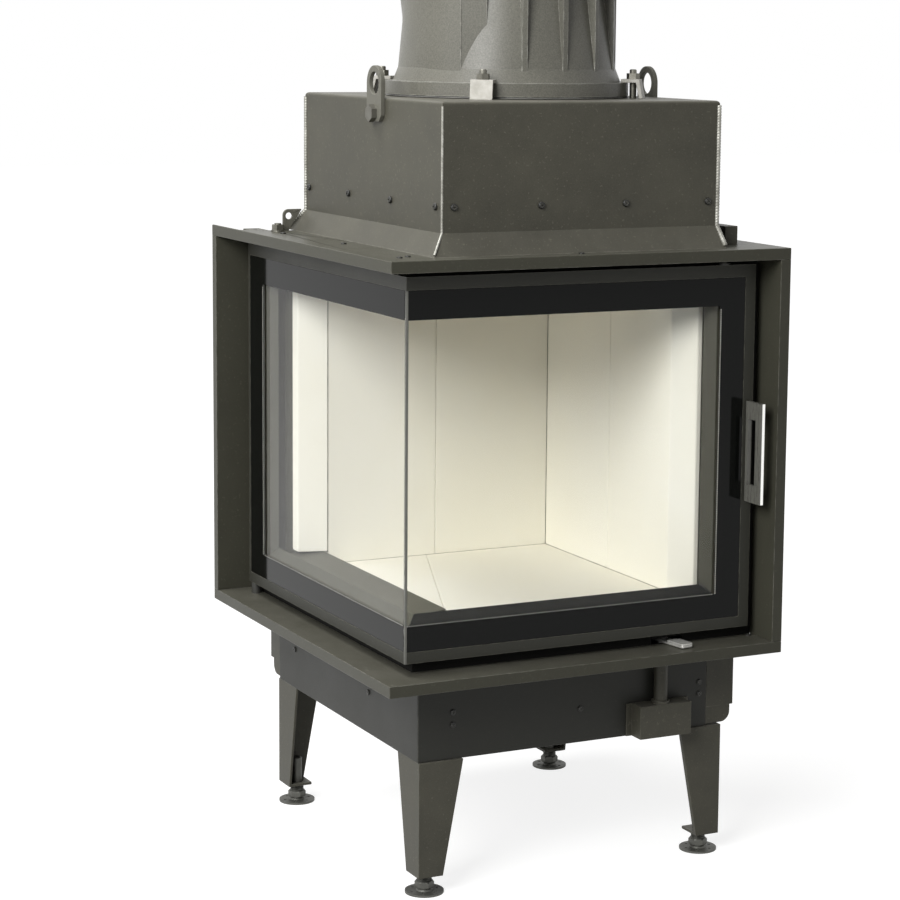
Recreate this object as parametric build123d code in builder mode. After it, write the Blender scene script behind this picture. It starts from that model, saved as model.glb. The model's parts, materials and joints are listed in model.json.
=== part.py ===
from build123d import *

import os
from math import cos, hypot, radians, sin

# Corner fireplace insert: an L-shaped glass door in a deep steel surround, a fireclay-lined
# firebox, a welded heat box with a finned cast dome, and an air base on four levelling feet.
#
# All sizes are in millimetres. +Z is up and the front looks along -Y. The second glazed side
# looks along -X. The origin is on the floor, under the middle of the object.
# Plan positions are given as (across, back) from the surround's near corner. Heights in the
# body are given from the underside of the surround.

os.makedirs("parts", exist_ok=True)

# Surround, over its lips
frame_width = 490.0
frame_depth = 528.0
frame_height = 463.0
frame_lip = 13.0
frame_sheet = 3.0
frame_return = 30.0
top_plate_rear_gap = 112.0
top_plate_cut_width = 47.0
top_plate_cut_depth = 27.0
smoke_left = 84.0
smoke_front = 58.0

# Face behind the door and the seal bar round its opening
face_inset = 48.0
bar_nose = 8.0
bar_width = 13.0
bar_slope = 11.0
opening_sill = 66.0
opening_head_gap = 57.0
opening_right_gap = 71.0
opening_rear_gap = 82.0

# Firebox shell, fireclay lining and hearth
shell_sheet = 4.0
shell_tuck = 2.0
shell_pocket = 68.0
shell_pocket_gap = 4.0
pan_height = 30.0
lining = 28.0
lining_gap = 0.5
lining_top_gap = 11.0
lining_left = 92.0
lining_front = 60.0
lining_back_joint = 232.0
lining_side_joint = 213.0
corner_left = 58.0
corner_slope = 11.0
hearth_top = 64.0
hearth_seam_front = 96.0
hearth_seam_back = 231.0
ledge_width = 38.0
ledge_start = 73.5
ledge_rise = 5.0
ledge_sheet = 2.0

# Baffle over the fire and its rail
baffle_front = 150.0
baffle_joint = 250.0
baffle_thickness = 25.0
baffle_rail_width = 20.0
baffle_rail_sheet = 3.0

# Heat box
box_left = 76.0
box_front = 40.0
box_height = 162.5
box_sheet = 3.0
box_round = 4.0
skirt_height = 24.0
skirt_flare = 16.0
skirt_right_flare = 2.0
weld_radius = 2.6
box_screw_height = 51.5
box_screw_inset = 14.0
box_screw_count = 4
box_screw_radius = 4.0
box_screw_head = 3.0

# Cast dome
dome_flange_radius = 139.0
dome_flange = 15.0
dome_root_radius = 130.0
dome_knee_radius = 124.0
dome_knee_height = 30.0
dome_shoulder_radius = 97.0
dome_shoulder_drop = 18.0
dome_neck_height = 240.0
dome_wall = 7.0
dome_bore_radius = 108.0
dome_fin_radius = 125.0
dome_fin_thickness = 6.0
dome_fin_root_height = 27.0
dome_fin_top_drop = 72.0
dome_fin_first = -107.8
dome_fin_pitch = 22.0
dome_fin_count = 10
dome_lobe_start = 104.0
dome_lobe_end = 219.3
dome_lobe_waist_radius = 119.0
dome_lobe_waist_height = 84.0
dome_lobe_radius = 127.0
dome_lobe_drop = 90.0
dome_cheek_radius = 114.9
dome_cheek_offset = 10.1
dome_cheek_arc = 80.0
dome_flat_radius = 124.0
dome_flat_end = 232.3
dome_flat_end_radius = 117.25
spigot_radius = 90.0
spigot_wall = 4.0
spigot_length = 42.0
gasket = 2.5
gasket_width = 16.0

# Dome clamps
clamp_angle = -127.0
clamp_count = 4
clamp_width = 25.0
clamp_sheet = 4.0
clamp_grip = 6.0
clamp_reach = 15.0
clamp_foot_spread = 4.0
clamp_stud_circle = 145.5
clamp_stud_radius = 4.0
clamp_stud_length = 32.5
clamp_nut_flats = 13.0
clamp_nut = 6.5

# Lifting lugs
lug_forward = 22.0
lug_width = 39.0
lug_foot_chamfer = 7.0
lug_sheet = 5.0
lug_eye_radius = 12.5
lug_eye_height = 178.0
lug_foot_height = 136.0
lug_bolt_height = 145.0
lug_bolt_flats = 17.0
lug_bolt_head = 6.4

# Small domed screw heads, as shares of their own radius and height
head_round = 0.6
cross_length = 1.1
cross_width = 0.26
cross_depth = 0.5
thread_chamfer = 0.25

# Rear ear and the window air duct
ear_left = 47.5
ear_gap = 5.0
ear_sheet = 3.0
ear_height = 25.0
ear_round = 7.0
ear_hole_radius = 4.0
ear_hole_across = 55.0
ear_hole_height = 17.0
duct_right_gap = 21.0
duct_front = 60.0
duct_width = 16.0
duct_depth = 60.0
duct_sheet = 1.5
duct_rise = 21.0
duct_window = 40.0
duct_clearance = 0.5

# Door leaf
door_inset = 32.0
door_right_gap = 13.0
door_rear_gap = 25.0
door_bottom = 26.7
door_top_gap = 7.0
door_bar_depth = 12.0
door_bottom_bar = 12.5
door_top_bar = 14.3
door_right_bar = 13.0
door_rear_bar = 5.0
glass = 4.0
glass_gap = 0.4
glass_recess = 0.6
clip_sheet = 1.5
clip_lap = 8.0
clip_reach = 7.0
seal_width = 8.0
seal_gap = 0.4

# Door hinge, on one upright axis
hinge_rear_inset = 8.0
hinge_pin_radius = 3.5
hinge_clearance = 0.08
hinge_engagement = 10.0
hinge_bore_depth = 11.0
hinge_plate = 4.0
hinge_plate_width = 22.0
hinge_plate_reach = 126.0
hinge_plate_end = 12.0
hinge_bolt_inset = 2.0
hinge_bolt_reach = 78.0
hinge_bolt_radius = 4.0
hinge_nut_flats = 13.0
hinge_nut = 6.5
hinge_washer_radius = 8.0
hinge_washer = 1.6
hinge_collar_radius = 6.0
hinge_thrust_gap = 0.4
hinge_hole_clearance = 1.0

# Ball catch on top of the door
catch_right_inset = 39.0
catch_ball_radius = 4.4
catch_ball_clearance = 0.08
catch_sleeve_radius = 5.2
catch_sleeve_depth = 11.5
catch_flange_width = 16.0
catch_flange_depth = 11.0
catch_flange = 1.5
catch_ball_sink = 0.6
catch_gap = 0.4
strike_width = 34.0
strike_depth = 12.0

# Handle
handle_screw_inset = 10.0
handle_right_inset = 6.0
handle_thickness = 5.0
handle_reach = 31.5
handle_foot = 173.0
handle_height = 115.0
handle_grip = 11.5
handle_arm = 20.0
handle_spine = 4.0
handle_screw_radius = 1.5
handle_screw_head_radius = 2.9
handle_screw_head = 3.0
handle_screw_thread = 11.0

# Base under the surround
base_left = 66.0
base_front = 70.0
base_right_gap = 20.0
base_rear_gap = 23.0
base_height = 97.0
base_sheet = 2.0
base_joint_width = 36.4
base_joint_depth = 29.0
tray_height = 22.0
tray_inset = 4.0
tray_round = 12.0
air_window = 14.0
panel_flange = 14.0
panel_gap = 0.3
base_screw_radius = 3.4
base_screw_head = 1.6
base_screw_drop = 44.0
base_screw_pitch = 14.0
base_screw_left = 42.0
base_screw_edge = 9.6
base_side_screw_drop = 49.0
base_side_screw_front = 135.0
base_side_screw_rear = 50.0

# Air lever, shaft and rotary shutter on one upright axis
air_right_inset = 104.0
air_behind_face = 8.0
air_shaft_radius = 5.0
air_clearance = 0.08
air_tube_radius = 7.9
air_tube_length = 59.0
air_collar_radius = 10.7
air_collar = 3.0
air_box_reach = 39.0
air_box_width = 81.0
air_box_depth = 22.0
air_box_height = 38.0
air_box_sheet = 2.0
air_box_flange = 7.0
lever_angle = 10.0
lever_length = 46.0
lever_width = 20.0
lever_sheet = 2.5
lever_lift = 1.0
lever_slot_height = 7.0
lever_eye_radius = 2.5
lever_nut_flats = 13.0
lever_nut = 4.0
shutter_radius = 48.0
shutter_arc = 44.0
shutter_sheet = 2.0
shutter_drop = 78.0
shutter_gap = 0.5
port_inner_radius = 24.0
port_outer_radius = 44.0
port_overlap = 5.0
shelf_sheet = 2.0
air_box_gap = 0.6
air_shoulder_radius = 7.0
air_shoulder_gap = 0.4
air_thread_radius = 4.0
lever_tip_round = 5.0
lever_eye_inset = 7.0
shutter_hub_radius = 8.0
shutter_hub = 10.0
plenum_window_width = 220.0
plenum_window_depth = 150.0
plenum_window_left = 120.0
plenum_window_front = 130.0
pan_slot_width = 60.0
pan_slot_depth = 8.0
pan_slot_pitch = 80.0
pan_slot_count = 3

# Outside air spigot under the base
inlet_across = 262.0
inlet_back = 290.0
inlet_radius = 62.0
inlet_wall = 1.5
inlet_length = 38.0
inlet_flange_radius = 74.0

# Small screws on the surround, as (across, back)
surround_screw_places = ((39.0, 215.0), (25.0, 34.6), (38.5, 43.3), (231.0, 14.5), (29.0, 370.0))
surround_screw_radius = 3.2
surround_screw_head = 1.8
plate_screw_inset = 20.0
plate_screw_back = 40.0

# Legs and levelling feet
leg_right_inset = 17.6
leg_rear_inset = 29.0
leg_height = 131.0
leg_top = 54.0
leg_bottom = 30.0
leg_sheet = 3.0
leg_pad = 42.0
foot_inset = 16.0
foot_radius = 21.8
foot_disc = 2.5
foot_hub_radius = 9.5
foot_hub_top_radius = 7.5
foot_hub = 5.0
foot_gap = 0.4
foot_stud_radius = 6.0
foot_stud_height = 56.0
foot_clearance = 0.08
foot_hole_clearance = 1.0
foot_hole_radius = 1.8
foot_hole_circle = 15.5
foot_hole_count = 6
foot_nut_flats = 19.0
lock_nut = 5.6
weld_nut = 11.0

# Heights above the floor that follow from the sizes above
leg_base = foot_hub + foot_gap + lock_nut + weld_nut
base_bottom = leg_base + leg_height
body = base_bottom + base_height
body_top = body + frame_height
body_floor = body + frame_lip
body_ceiling = body_top - frame_lip
box_top = body_top + box_height
flange_bottom = box_top + gasket
flange_top = flange_bottom + dome_flange

lock_nut_bottom = foot_hub + foot_gap
handle_screw_heights = (
    body + handle_foot + handle_screw_inset,
    body + handle_foot + handle_height - handle_screw_inset,
)

# Plan lines and centres that follow from the sizes above
face_back = face_inset + frame_sheet
recess_right = frame_width - frame_lip
recess_rear = frame_depth - frame_lip
top_plate_depth = frame_depth - top_plate_rear_gap
opening_head = frame_height - opening_head_gap
opening_right = frame_width - opening_right_gap
opening_rear = frame_depth - opening_rear_gap
shell_right = opening_right - shell_tuck
shell_rear = top_plate_depth - shell_tuck
shell_pocket_rear = opening_rear + shell_pocket_gap
lining_top = frame_height - lining_top_gap
base_right = frame_width - base_right_gap
base_rear = frame_depth - base_rear_gap
base_joint_across = base_right - base_joint_width
base_joint_back = base_rear - base_joint_depth
leg_right = base_right - leg_right_inset
leg_rear = base_rear - leg_rear_inset
shell_inner_right = shell_right - shell_sheet
shell_inner_rear = shell_rear - shell_sheet
lining_inner_right = shell_inner_right - lining_gap - lining
lining_inner_rear = shell_inner_rear - lining_gap - lining
ledge_right = face_back + ledge_width
box_right = shell_right
box_rear = top_plate_depth
box_width = box_right - box_left
box_depth = box_rear - box_front
lug_back = box_front + box_depth / 2 - lug_forward
duct_left = recess_right - duct_right_gap - duct_width
door_back = door_inset + door_bar_depth
door_width = recess_right - door_right_gap
door_depth = recess_rear - door_rear_gap
door_top = frame_height - frame_lip - door_top_gap
dome_x = box_left + box_width / 2 - frame_width / 2
dome_y = box_front + box_depth / 2 - frame_depth / 2
hinge_across = door_inset + door_bar_depth / 2
hinge_back = door_depth - hinge_rear_inset
hinge_bolt_across = hinge_across - hinge_bolt_inset
hinge_bolt_back = hinge_back - hinge_bolt_reach
catch_across = door_width - catch_right_inset
handle_across = door_width - handle_right_inset
air_across = base_right - air_right_inset
air_back = face_back + air_behind_face
air_box_left = air_across - air_box_reach
hinge_x = hinge_across - frame_width / 2
hinge_y = hinge_back - frame_depth / 2
air_x = air_across - frame_width / 2
air_y = air_back - frame_depth / 2
catch_x = catch_across - frame_width / 2
catch_back = door_inset + door_bar_depth / 2
catch_y = catch_back - frame_depth / 2
handle_x = handle_across - frame_width / 2
door_front_y = door_inset - frame_depth / 2
door_back_y = door_back - frame_depth / 2
inlet_x = inlet_across - frame_width / 2
inlet_y = inlet_back - frame_depth / 2
straight_back = 90.0
port_mid_angle = straight_back - shutter_arc / 2
port_arc = shutter_arc - 2 * port_overlap


def spot(across, back):
    """Place in plan of a point given from the surround's near corner."""
    return (across - frame_width / 2, back - frame_depth / 2)


def strip(left, front, right, rear):
    """Corners of a rectangle in plan."""
    return [(left, front), (right, front), (right, rear), (left, rear)]


def corner_strip(outer, inner, right_end, rear_end):
    """Corners of an L-shaped band along the front and round to the glazed side."""
    return [
        (right_end, outer),
        (outer, outer),
        (outer, rear_end),
        (inner, rear_end),
        (inner, inner),
        (right_end, inner),
    ]


def slab(outline, bottom, top, mode=Mode.ADD):
    """Upright block over a plan outline, in the part being built."""
    with BuildSketch(Plane.XY.offset(bottom)) as section:
        with BuildLine():
            Polyline(*[spot(*corner) for corner in outline], close=True)
        make_face()
    extrude(section.sketch, amount=top - bottom, mode=mode)


def post(place, radius, bottom, top, mode=Mode.ADD):
    """Upright round bar at an XY place, in the part being built."""
    with BuildSketch(Plane.XY.offset(bottom)) as section:
        with Locations(place):
            Circle(radius)
    extrude(section.sketch, amount=top - bottom, mode=mode)


def upright_hex(place, flats, bottom, top):
    """Upright hexagon prism at an XY place, in the part being built."""
    with BuildSketch(Plane.XY.offset(bottom)) as section:
        with Locations(place):
            RegularPolygon(radius=flats / 2, side_count=6, major_radius=False)
    extrude(section.sketch, amount=top - bottom)


def facing(x, y, z, outward):
    """Plane at a point of a wall, with its normal pointing out of the wall."""
    return Plane(origin=(x, y, z), z_dir=outward)


def peg(plane, radius, start, end, mode=Mode.ADD):
    """Round bar along a plane's normal, in the part being built."""
    with BuildSketch(plane.offset(start)) as section:
        Circle(radius)
    extrude(section.sketch, amount=end - start, mode=mode)


def button_head(plane, radius, height):
    """Low domed screw head with a cross in it, standing on a plane."""
    with BuildPart() as head:
        with BuildSketch(plane):
            Circle(radius)
        extrude(amount=height)
        top = head.faces().sort_by(Axis(plane.origin, plane.z_dir))[-1]
        fillet(top.edges(), height * head_round)
        with BuildSketch(plane.offset(height)) as cross:
            Rectangle(radius * cross_length, radius * cross_width)
            Rectangle(radius * cross_width, radius * cross_length)
        extrude(cross.sketch, amount=-height * cross_depth, mode=Mode.SUBTRACT)
    return head.part


def duct_outline(inset):
    """Plan corners of the window air duct, drawn in by an inset."""
    return strip(
        duct_left + inset,
        duct_front + inset,
        duct_left + duct_width - inset,
        duct_front + duct_depth - inset,
    )


def plenum_outline():
    """Plan corners of the window that lets air up out of the base."""
    return strip(
        plenum_window_left,
        plenum_window_front,
        plenum_window_left + plenum_window_width,
        plenum_window_front + plenum_window_depth,
    )


def bar_outline(nose, slope):
    """Section of the seal bar, as (inset, height) with the nose's inner edge at a height."""
    return [
        (face_inset, nose - bar_width * slope),
        (face_inset - bar_nose, nose - bar_width * slope),
        (face_inset - bar_nose, nose),
        (face_back, nose + bar_slope * slope),
        (face_back, nose + (bar_slope - frame_sheet) * slope),
        (face_inset, nose + (bar_slope - 2 * frame_sheet) * slope),
    ]


def run_round_corner(section, right_end, rear_end):
    """Bar with a section in (inset, height), from the right round to the glazed side."""
    with BuildPart() as along_front:
        with BuildSketch(Plane(origin=(*spot(0, 0), 0), x_dir=(0, 1, 0), z_dir=(1, 0, 0))):
            with BuildLine():
                Polyline(*section, close=True)
            make_face()
        extrude(amount=right_end)
        with BuildSketch(Plane.XY) as front_half:
            with BuildLine():
                Polyline(
                    spot(0, 0),
                    spot(right_end, 0),
                    spot(right_end, right_end),
                    close=True,
                )
            make_face()
        extrude(front_half.sketch, amount=body_top, mode=Mode.INTERSECT)
    with BuildPart() as along_side:
        with BuildSketch(Plane(origin=(*spot(0, 0), 0), x_dir=(1, 0, 0), z_dir=(0, -1, 0))):
            with BuildLine():
                Polyline(*section, close=True)
            make_face()
        extrude(amount=-rear_end)
        with BuildSketch(Plane.XY) as side_half:
            with BuildLine():
                Polyline(
                    spot(0, 0),
                    spot(rear_end, rear_end),
                    spot(0, rear_end),
                    close=True,
                )
            make_face()
        extrude(side_half.sketch, amount=body_top, mode=Mode.INTERSECT)
    return along_front.part + along_side.part


def jamb_outline(nose, turned):
    """Plan section of an upright seal bar, on the front or turned on to the side."""
    section = bar_outline(nose, -1)
    if turned:
        return section
    return [(along, inset) for inset, along in section]


def heat_box_solid(inset, bottom, top):
    """Flared skirt, steeper at the right, with an upright box on it, drawn in by an inset."""
    middle = spot(box_left + box_width / 2, box_front + box_depth / 2)
    skirt_middle = (middle[0] - (skirt_flare - skirt_right_flare) / 2, middle[1])
    width = box_width - 2 * inset
    depth = box_depth - 2 * inset
    kink = body_top + skirt_height
    with BuildPart() as shape:
        with BuildSketch(Plane.XY.offset(bottom)):
            with Locations(skirt_middle):
                Rectangle(width + skirt_flare + skirt_right_flare, depth + 2 * skirt_flare)
        with BuildSketch(Plane.XY.offset(kink)):
            with Locations(middle):
                Rectangle(width, depth)
        loft()
        with BuildSketch(Plane.XY.offset(kink)):
            with Locations(middle):
                Rectangle(width, depth)
        extrude(amount=top - kink)
    return shape.part


def sector(inner, outer, middle, arc, bottom, top):
    """Ring sector about the air shaft, between two heights."""
    start = middle - arc / 2
    with BuildPart() as wedge:
        with BuildSketch(Plane.XY.offset(bottom)):
            with BuildLine():
                rim = CenterArc((air_x, air_y), outer, start, arc)
                root = CenterArc((air_x, air_y), inner, start, arc)
                Line(rim @ 0, root @ 0)
                Line(rim @ 1, root @ 1)
            make_face()
        extrude(amount=top - bottom)
    return wedge.part


def revolved(outline, arc=360.0):
    """Solid turned about the upright axis from a (radius, height) outline."""
    with BuildPart() as turning:
        with BuildSketch(Plane.XZ):
            with BuildLine():
                Polyline(*outline, close=True)
            make_face()
        revolve(axis=Axis.Z, revolution_arc=arc)
    return turning.part


def radial_plate(outline, width):
    """Upright plate through the dome's axis, from a (radius, height) outline."""
    with BuildPart() as plate:
        with BuildSketch(Plane.XZ.offset(-width / 2)):
            with BuildLine():
                Polyline(*outline, close=True)
            make_face()
        extrude(amount=width)
    return plate.part


def around(radius, angle):
    """Point in plan at a radius and angle from the dome's axis."""
    return (radius * cos(radians(angle)), radius * sin(radians(angle)))


def corner_bead(x, y, out_x, out_y):
    """Weld bead up one corner of the skirt and the box."""
    side_flare = skirt_right_flare if out_x > 0 else skirt_flare
    slant = (-out_x * side_flare, -out_y * skirt_flare, skirt_height)
    kink = body_top + skirt_height
    with BuildPart() as bead:
        with BuildSketch(Plane.XY.offset(body_top)) as section:
            with Locations((x - slant[0], y - slant[1])):
                Circle(weld_radius)
        extrude(section.sketch, amount=hypot(*slant), dir=slant)
        post((x, y), weld_radius, kink, box_top - box_round)
        add(heat_box_solid(0, body_top, box_top), mode=Mode.SUBTRACT)
    return bead.part


def tray_block(inset, bottom):
    """Solid shape of the base tray, drawn in by an inset, with its lower edges rounded."""
    front = base_front + base_sheet + inset
    left = base_left + base_sheet + inset
    with BuildPart() as block:
        slab(
            strip(left, front, base_right - tray_inset - inset, base_rear - tray_inset - inset),
            bottom,
            base_bottom + tray_height,
        )
        if inset == 0:
            slab(
                strip(
                    base_joint_across + panel_gap,
                    base_front,
                    base_right - tray_inset,
                    front,
                ),
                bottom,
                base_bottom + tray_height,
            )
        lower_edges = block.faces().sort_by(Axis.Z)[0].edges()
        fillet(
            [lower_edges.sort_by(Axis.X)[-1], lower_edges.sort_by(Axis.Y)[-1]],
            tray_round - inset,
        )
    return block.part


def save(piece, name):
    """Label a finished piece and write it."""
    piece.part.label = name
    export_step(piece.part, f"parts/{name}.step")


# Folded steel channels round the recess that the door closes into
with BuildPart() as surround_top:
    slab(
        [
            (0, 0),
            (frame_width, 0),
            (frame_width, top_plate_depth),
            (top_plate_cut_width, top_plate_depth),
            (0, top_plate_depth + top_plate_cut_depth),
        ],
        body_top - frame_sheet,
        body_top,
    )
    slab(corner_strip(0, frame_sheet, frame_width, frame_depth), body_ceiling, body_top)
    slab(
        corner_strip(0, face_inset, frame_width, frame_depth),
        body_ceiling,
        body_ceiling + frame_sheet,
    )
    slab(
        strip(smoke_left, smoke_front, shell_inner_right, shell_inner_rear),
        body_top - frame_sheet,
        body_top,
        Mode.SUBTRACT,
    )
    slab(
        duct_outline(-duct_clearance),
        body_top - frame_sheet,
        body_top,
        Mode.SUBTRACT,
    )
    post(
        (hinge_x, hinge_y),
        hinge_pin_radius + hinge_hole_clearance,
        body_ceiling,
        body_ceiling + frame_sheet,
        Mode.SUBTRACT,
    )
    post(
        spot(hinge_bolt_across, hinge_bolt_back),
        hinge_bolt_radius,
        body_top - frame_sheet,
        body_top,
        Mode.SUBTRACT,
    )
save(surround_top, "surround_top")

with BuildPart() as surround_bottom:
    slab(
        [
            (0, 0),
            (frame_width, 0),
            (frame_width, face_inset),
            (base_right, face_inset),
            (base_right, base_rear),
            (face_inset, base_rear),
            (face_inset, frame_depth),
            (0, frame_depth),
        ],
        body,
        body + frame_sheet,
    )
    slab(corner_strip(0, frame_sheet, frame_width, frame_depth), body, body_floor)
    slab(
        corner_strip(0, face_inset, frame_width, frame_depth),
        body_floor - frame_sheet,
        body_floor,
    )
    slab(plenum_outline(), body, body + frame_sheet, Mode.SUBTRACT)
    slab(duct_outline(-duct_clearance), body, body + frame_sheet, Mode.SUBTRACT)
    post(
        (air_x, air_y),
        air_tube_radius,
        body,
        body + frame_sheet,
        Mode.SUBTRACT,
    )
save(surround_bottom, "surround_bottom")

with BuildPart() as surround_right:
    slab(
        strip(frame_width - frame_sheet, 0, frame_width, frame_return),
        body_floor,
        body_ceiling,
    )
    slab(strip(recess_right, 0, frame_width, frame_sheet), body_floor, body_ceiling)
    slab(
        strip(recess_right, 0, recess_right + frame_sheet, face_back),
        body_floor,
        body_ceiling,
    )
save(surround_right, "surround_right")

with BuildPart() as surround_left:
    slab(
        strip(0, frame_depth - frame_sheet, frame_return, frame_depth),
        body_floor,
        body_ceiling,
    )
    slab(strip(0, recess_rear, frame_sheet, frame_depth), body_floor, body_ceiling)
    slab(
        strip(0, recess_rear, face_back, recess_rear + frame_sheet),
        body_floor,
        body_ceiling,
    )
save(surround_left, "surround_left")

# Sheet face behind the door and the sloped bar that the door's rope seals on
bar_right = opening_right + bar_width
bar_rear = opening_rear + bar_width
bar_bottom = body + opening_sill - bar_width
bar_top = body + opening_head + bar_width
edge = bar_slope - 2 * frame_sheet

with BuildPart() as face_panel:
    slab(
        corner_strip(face_inset, face_back, recess_right, recess_rear),
        body + frame_sheet,
        body_ceiling,
    )
    slab(
        strip(0, 0, opening_right - edge, opening_rear - edge),
        body + opening_sill + edge,
        body + opening_head - edge,
        Mode.SUBTRACT,
    )
    slab(
        strip(
            air_across - lever_width,
            face_inset,
            air_across + lever_width,
            face_back,
        ),
        body_floor,
        body_floor + lever_slot_height,
        Mode.SUBTRACT,
    )
save(face_panel, "face_panel")

lower = run_round_corner(bar_outline(body + opening_sill, 1), bar_right, bar_rear)
upper = run_round_corner(bar_outline(body + opening_head, -1), bar_right, bar_rear)
with BuildPart() as seal_bar:
    add(lower)
    add(upper)
    slab(jamb_outline(opening_right, False), bar_bottom, bar_top)
    slab(jamb_outline(opening_rear, True), bar_bottom, bar_top)
    add(face_panel.part, mode=Mode.SUBTRACT)
save(seal_bar, "seal_bar")

# Steel shell, hearth pan, fireclay lining, side ledge and baffle
with BuildPart() as firebox_shell:
    slab(
        [
            (shell_right, face_back),
            (shell_right, shell_rear),
            (shell_pocket, shell_rear),
            (shell_pocket, shell_pocket_rear),
            (face_back, shell_pocket_rear),
            (face_back, shell_pocket_rear - shell_sheet),
            (shell_pocket - shell_sheet, shell_pocket_rear - shell_sheet),
            (shell_pocket - shell_sheet, shell_inner_rear),
            (shell_inner_right, shell_inner_rear),
            (shell_inner_right, face_back),
        ],
        body + frame_sheet,
        body_top - frame_sheet,
    )
save(firebox_shell, "firebox_shell")

with BuildPart() as hearth_pan:
    slab(
        strip(face_back, face_back, shell_inner_right, shell_inner_rear),
        body + pan_height,
        body + pan_height + shell_sheet,
    )
    slab(
        strip(face_back, face_back, face_back + shell_sheet, shell_inner_rear),
        body + frame_sheet,
        body + pan_height,
    )
    with BuildSketch(Plane.XY.offset(body + pan_height)):
        with Locations(spot((ledge_right + shell_inner_right) / 2, lining_front - pan_slot_depth)):
            with GridLocations(pan_slot_pitch, pan_slot_pitch, pan_slot_count, 1):
                Rectangle(pan_slot_width, pan_slot_depth)
    extrude(amount=shell_sheet, mode=Mode.SUBTRACT)
save(hearth_pan, "hearth_pan")

tile_bottom = body + pan_height + shell_sheet
tile_top = body + hearth_top
floor_left = ledge_right + lining_gap
floor_right = shell_inner_right - lining_gap
floor_rear = shell_inner_rear - lining_gap
corner_foot = body + ledge_start + ledge_rise + lining_gap
with BuildPart() as hearth_tiles:
    slab(
        [
            (floor_left, lining_front),
            (hearth_seam_front - lining_gap / 2, lining_front),
            (hearth_seam_back - lining_gap / 2, floor_rear),
            (floor_left, floor_rear),
        ],
        tile_bottom,
        tile_top,
    )
    slab(
        [
            (hearth_seam_front + lining_gap / 2, lining_front),
            (floor_right, lining_front),
            (floor_right, floor_rear),
            (hearth_seam_back + lining_gap / 2, floor_rear),
        ],
        tile_bottom,
        tile_top,
    )
save(hearth_tiles, "hearth_tiles")

bricks = {
    "lining_back": (
        strip(
            lining_left + lining_gap,
            lining_inner_rear,
            lining_back_joint - lining_gap / 2,
            floor_rear,
        ),
        strip(
            lining_back_joint + lining_gap / 2,
            lining_inner_rear,
            floor_right,
            floor_rear,
        ),
    ),
    "lining_side": (
        strip(
            lining_inner_right,
            lining_side_joint + lining_gap / 2,
            floor_right,
            lining_inner_rear - lining_gap,
        ),
        strip(
            lining_inner_right,
            lining_front,
            floor_right,
            lining_side_joint - lining_gap / 2,
        ),
    ),
    "lining_corner": (
        [
            (lining_left, lining_inner_rear),
            (lining_left, floor_rear),
            (corner_left, floor_rear),
            (corner_left, lining_inner_rear + corner_slope),
        ],
    ),
}
for name, outlines in bricks.items():
    foot = corner_foot if name == "lining_corner" else tile_top
    with BuildPart() as bricks_part:
        for outline in outlines:
            slab(outline, foot, body + lining_top)
    save(bricks_part, name)

with BuildPart() as side_ledge:
    with BuildSketch(Plane(origin=(*spot(0, face_back), 0), x_dir=(1, 0, 0), z_dir=(0, -1, 0))):
        with BuildLine():
            Polyline(
                (face_back, body + ledge_start),
                (ledge_right, body + ledge_start + ledge_rise),
                (ledge_right, tile_bottom),
                (ledge_right - ledge_sheet, tile_bottom),
                (ledge_right - ledge_sheet, body + ledge_start + ledge_rise - ledge_sheet),
                (face_back, body + ledge_start - ledge_sheet),
                close=True,
            )
        make_face()
    extrude(amount=-(floor_rear - face_back))
save(side_ledge, "side_ledge")

baffle_bottom = body + lining_top
with BuildPart() as baffle_plates:
    for left, right in (
        (smoke_left + lining_gap, baffle_joint - lining_gap / 2),
        (baffle_joint + lining_gap / 2, floor_right),
    ):
        slab(
            strip(left, baffle_front, right, floor_rear),
            baffle_bottom,
            baffle_bottom + baffle_thickness,
        )
save(baffle_plates, "baffle_plates")

with BuildPart() as baffle_rail:
    slab(
        strip(
            smoke_left - baffle_rail_sheet,
            baffle_front,
            smoke_left,
            lining_inner_rear,
        ),
        baffle_bottom - baffle_rail_sheet,
        body_top - frame_sheet,
    )
    slab(
        strip(
            smoke_left - baffle_rail_sheet,
            baffle_front,
            smoke_left + baffle_rail_width,
            lining_inner_rear - lining_gap,
        ),
        baffle_bottom - baffle_rail_sheet,
        baffle_bottom,
    )
save(baffle_rail, "baffle_rail")

# Welded box over the firebox, its screws, lifting lugs and ear
outer = heat_box_solid(0, body_top, box_top)
inner = heat_box_solid(box_sheet, body_top, box_top - box_sheet)
with BuildPart() as heat_box:
    add(outer)
    fillet(heat_box.faces().sort_by(Axis.Z)[-1].edges(), box_round)
    add(inner, mode=Mode.SUBTRACT)
    post((dome_x, dome_y), dome_bore_radius, box_top - box_sheet, box_top, Mode.SUBTRACT)
save(heat_box, "heat_box")

kink = body_top + skirt_height
with BuildPart() as heat_box_welds:
    for across, out_x in ((box_left, -1), (box_right, 1)):
        for back, out_y in ((box_front, -1), (box_rear, 1)):
            add(corner_bead(*spot(across, back), out_x, out_y))
save(heat_box_welds, "heat_box_welds")

row_height = body_top + box_screw_height
front_pitch = (box_width - 2 * box_screw_inset) / (box_screw_count - 1)
side_pitch = (box_depth - 2 * box_screw_inset) / (box_screw_count - 1)
with BuildPart() as heat_box_screws:
    for number in range(box_screw_count):
        across = box_left + box_screw_inset + number * front_pitch
        back = box_front + box_screw_inset + number * side_pitch
        for place, outward in (
            (spot(across, box_front), (0, -1, 0)),
            (spot(box_left, back), (-1, 0, 0)),
            (spot(box_right, back), (1, 0, 0)),
        ):
            seat = facing(*place, row_height, outward)
            add(button_head(seat, box_screw_radius, box_screw_head))
save(heat_box_screws, "heat_box_screws")

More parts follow.
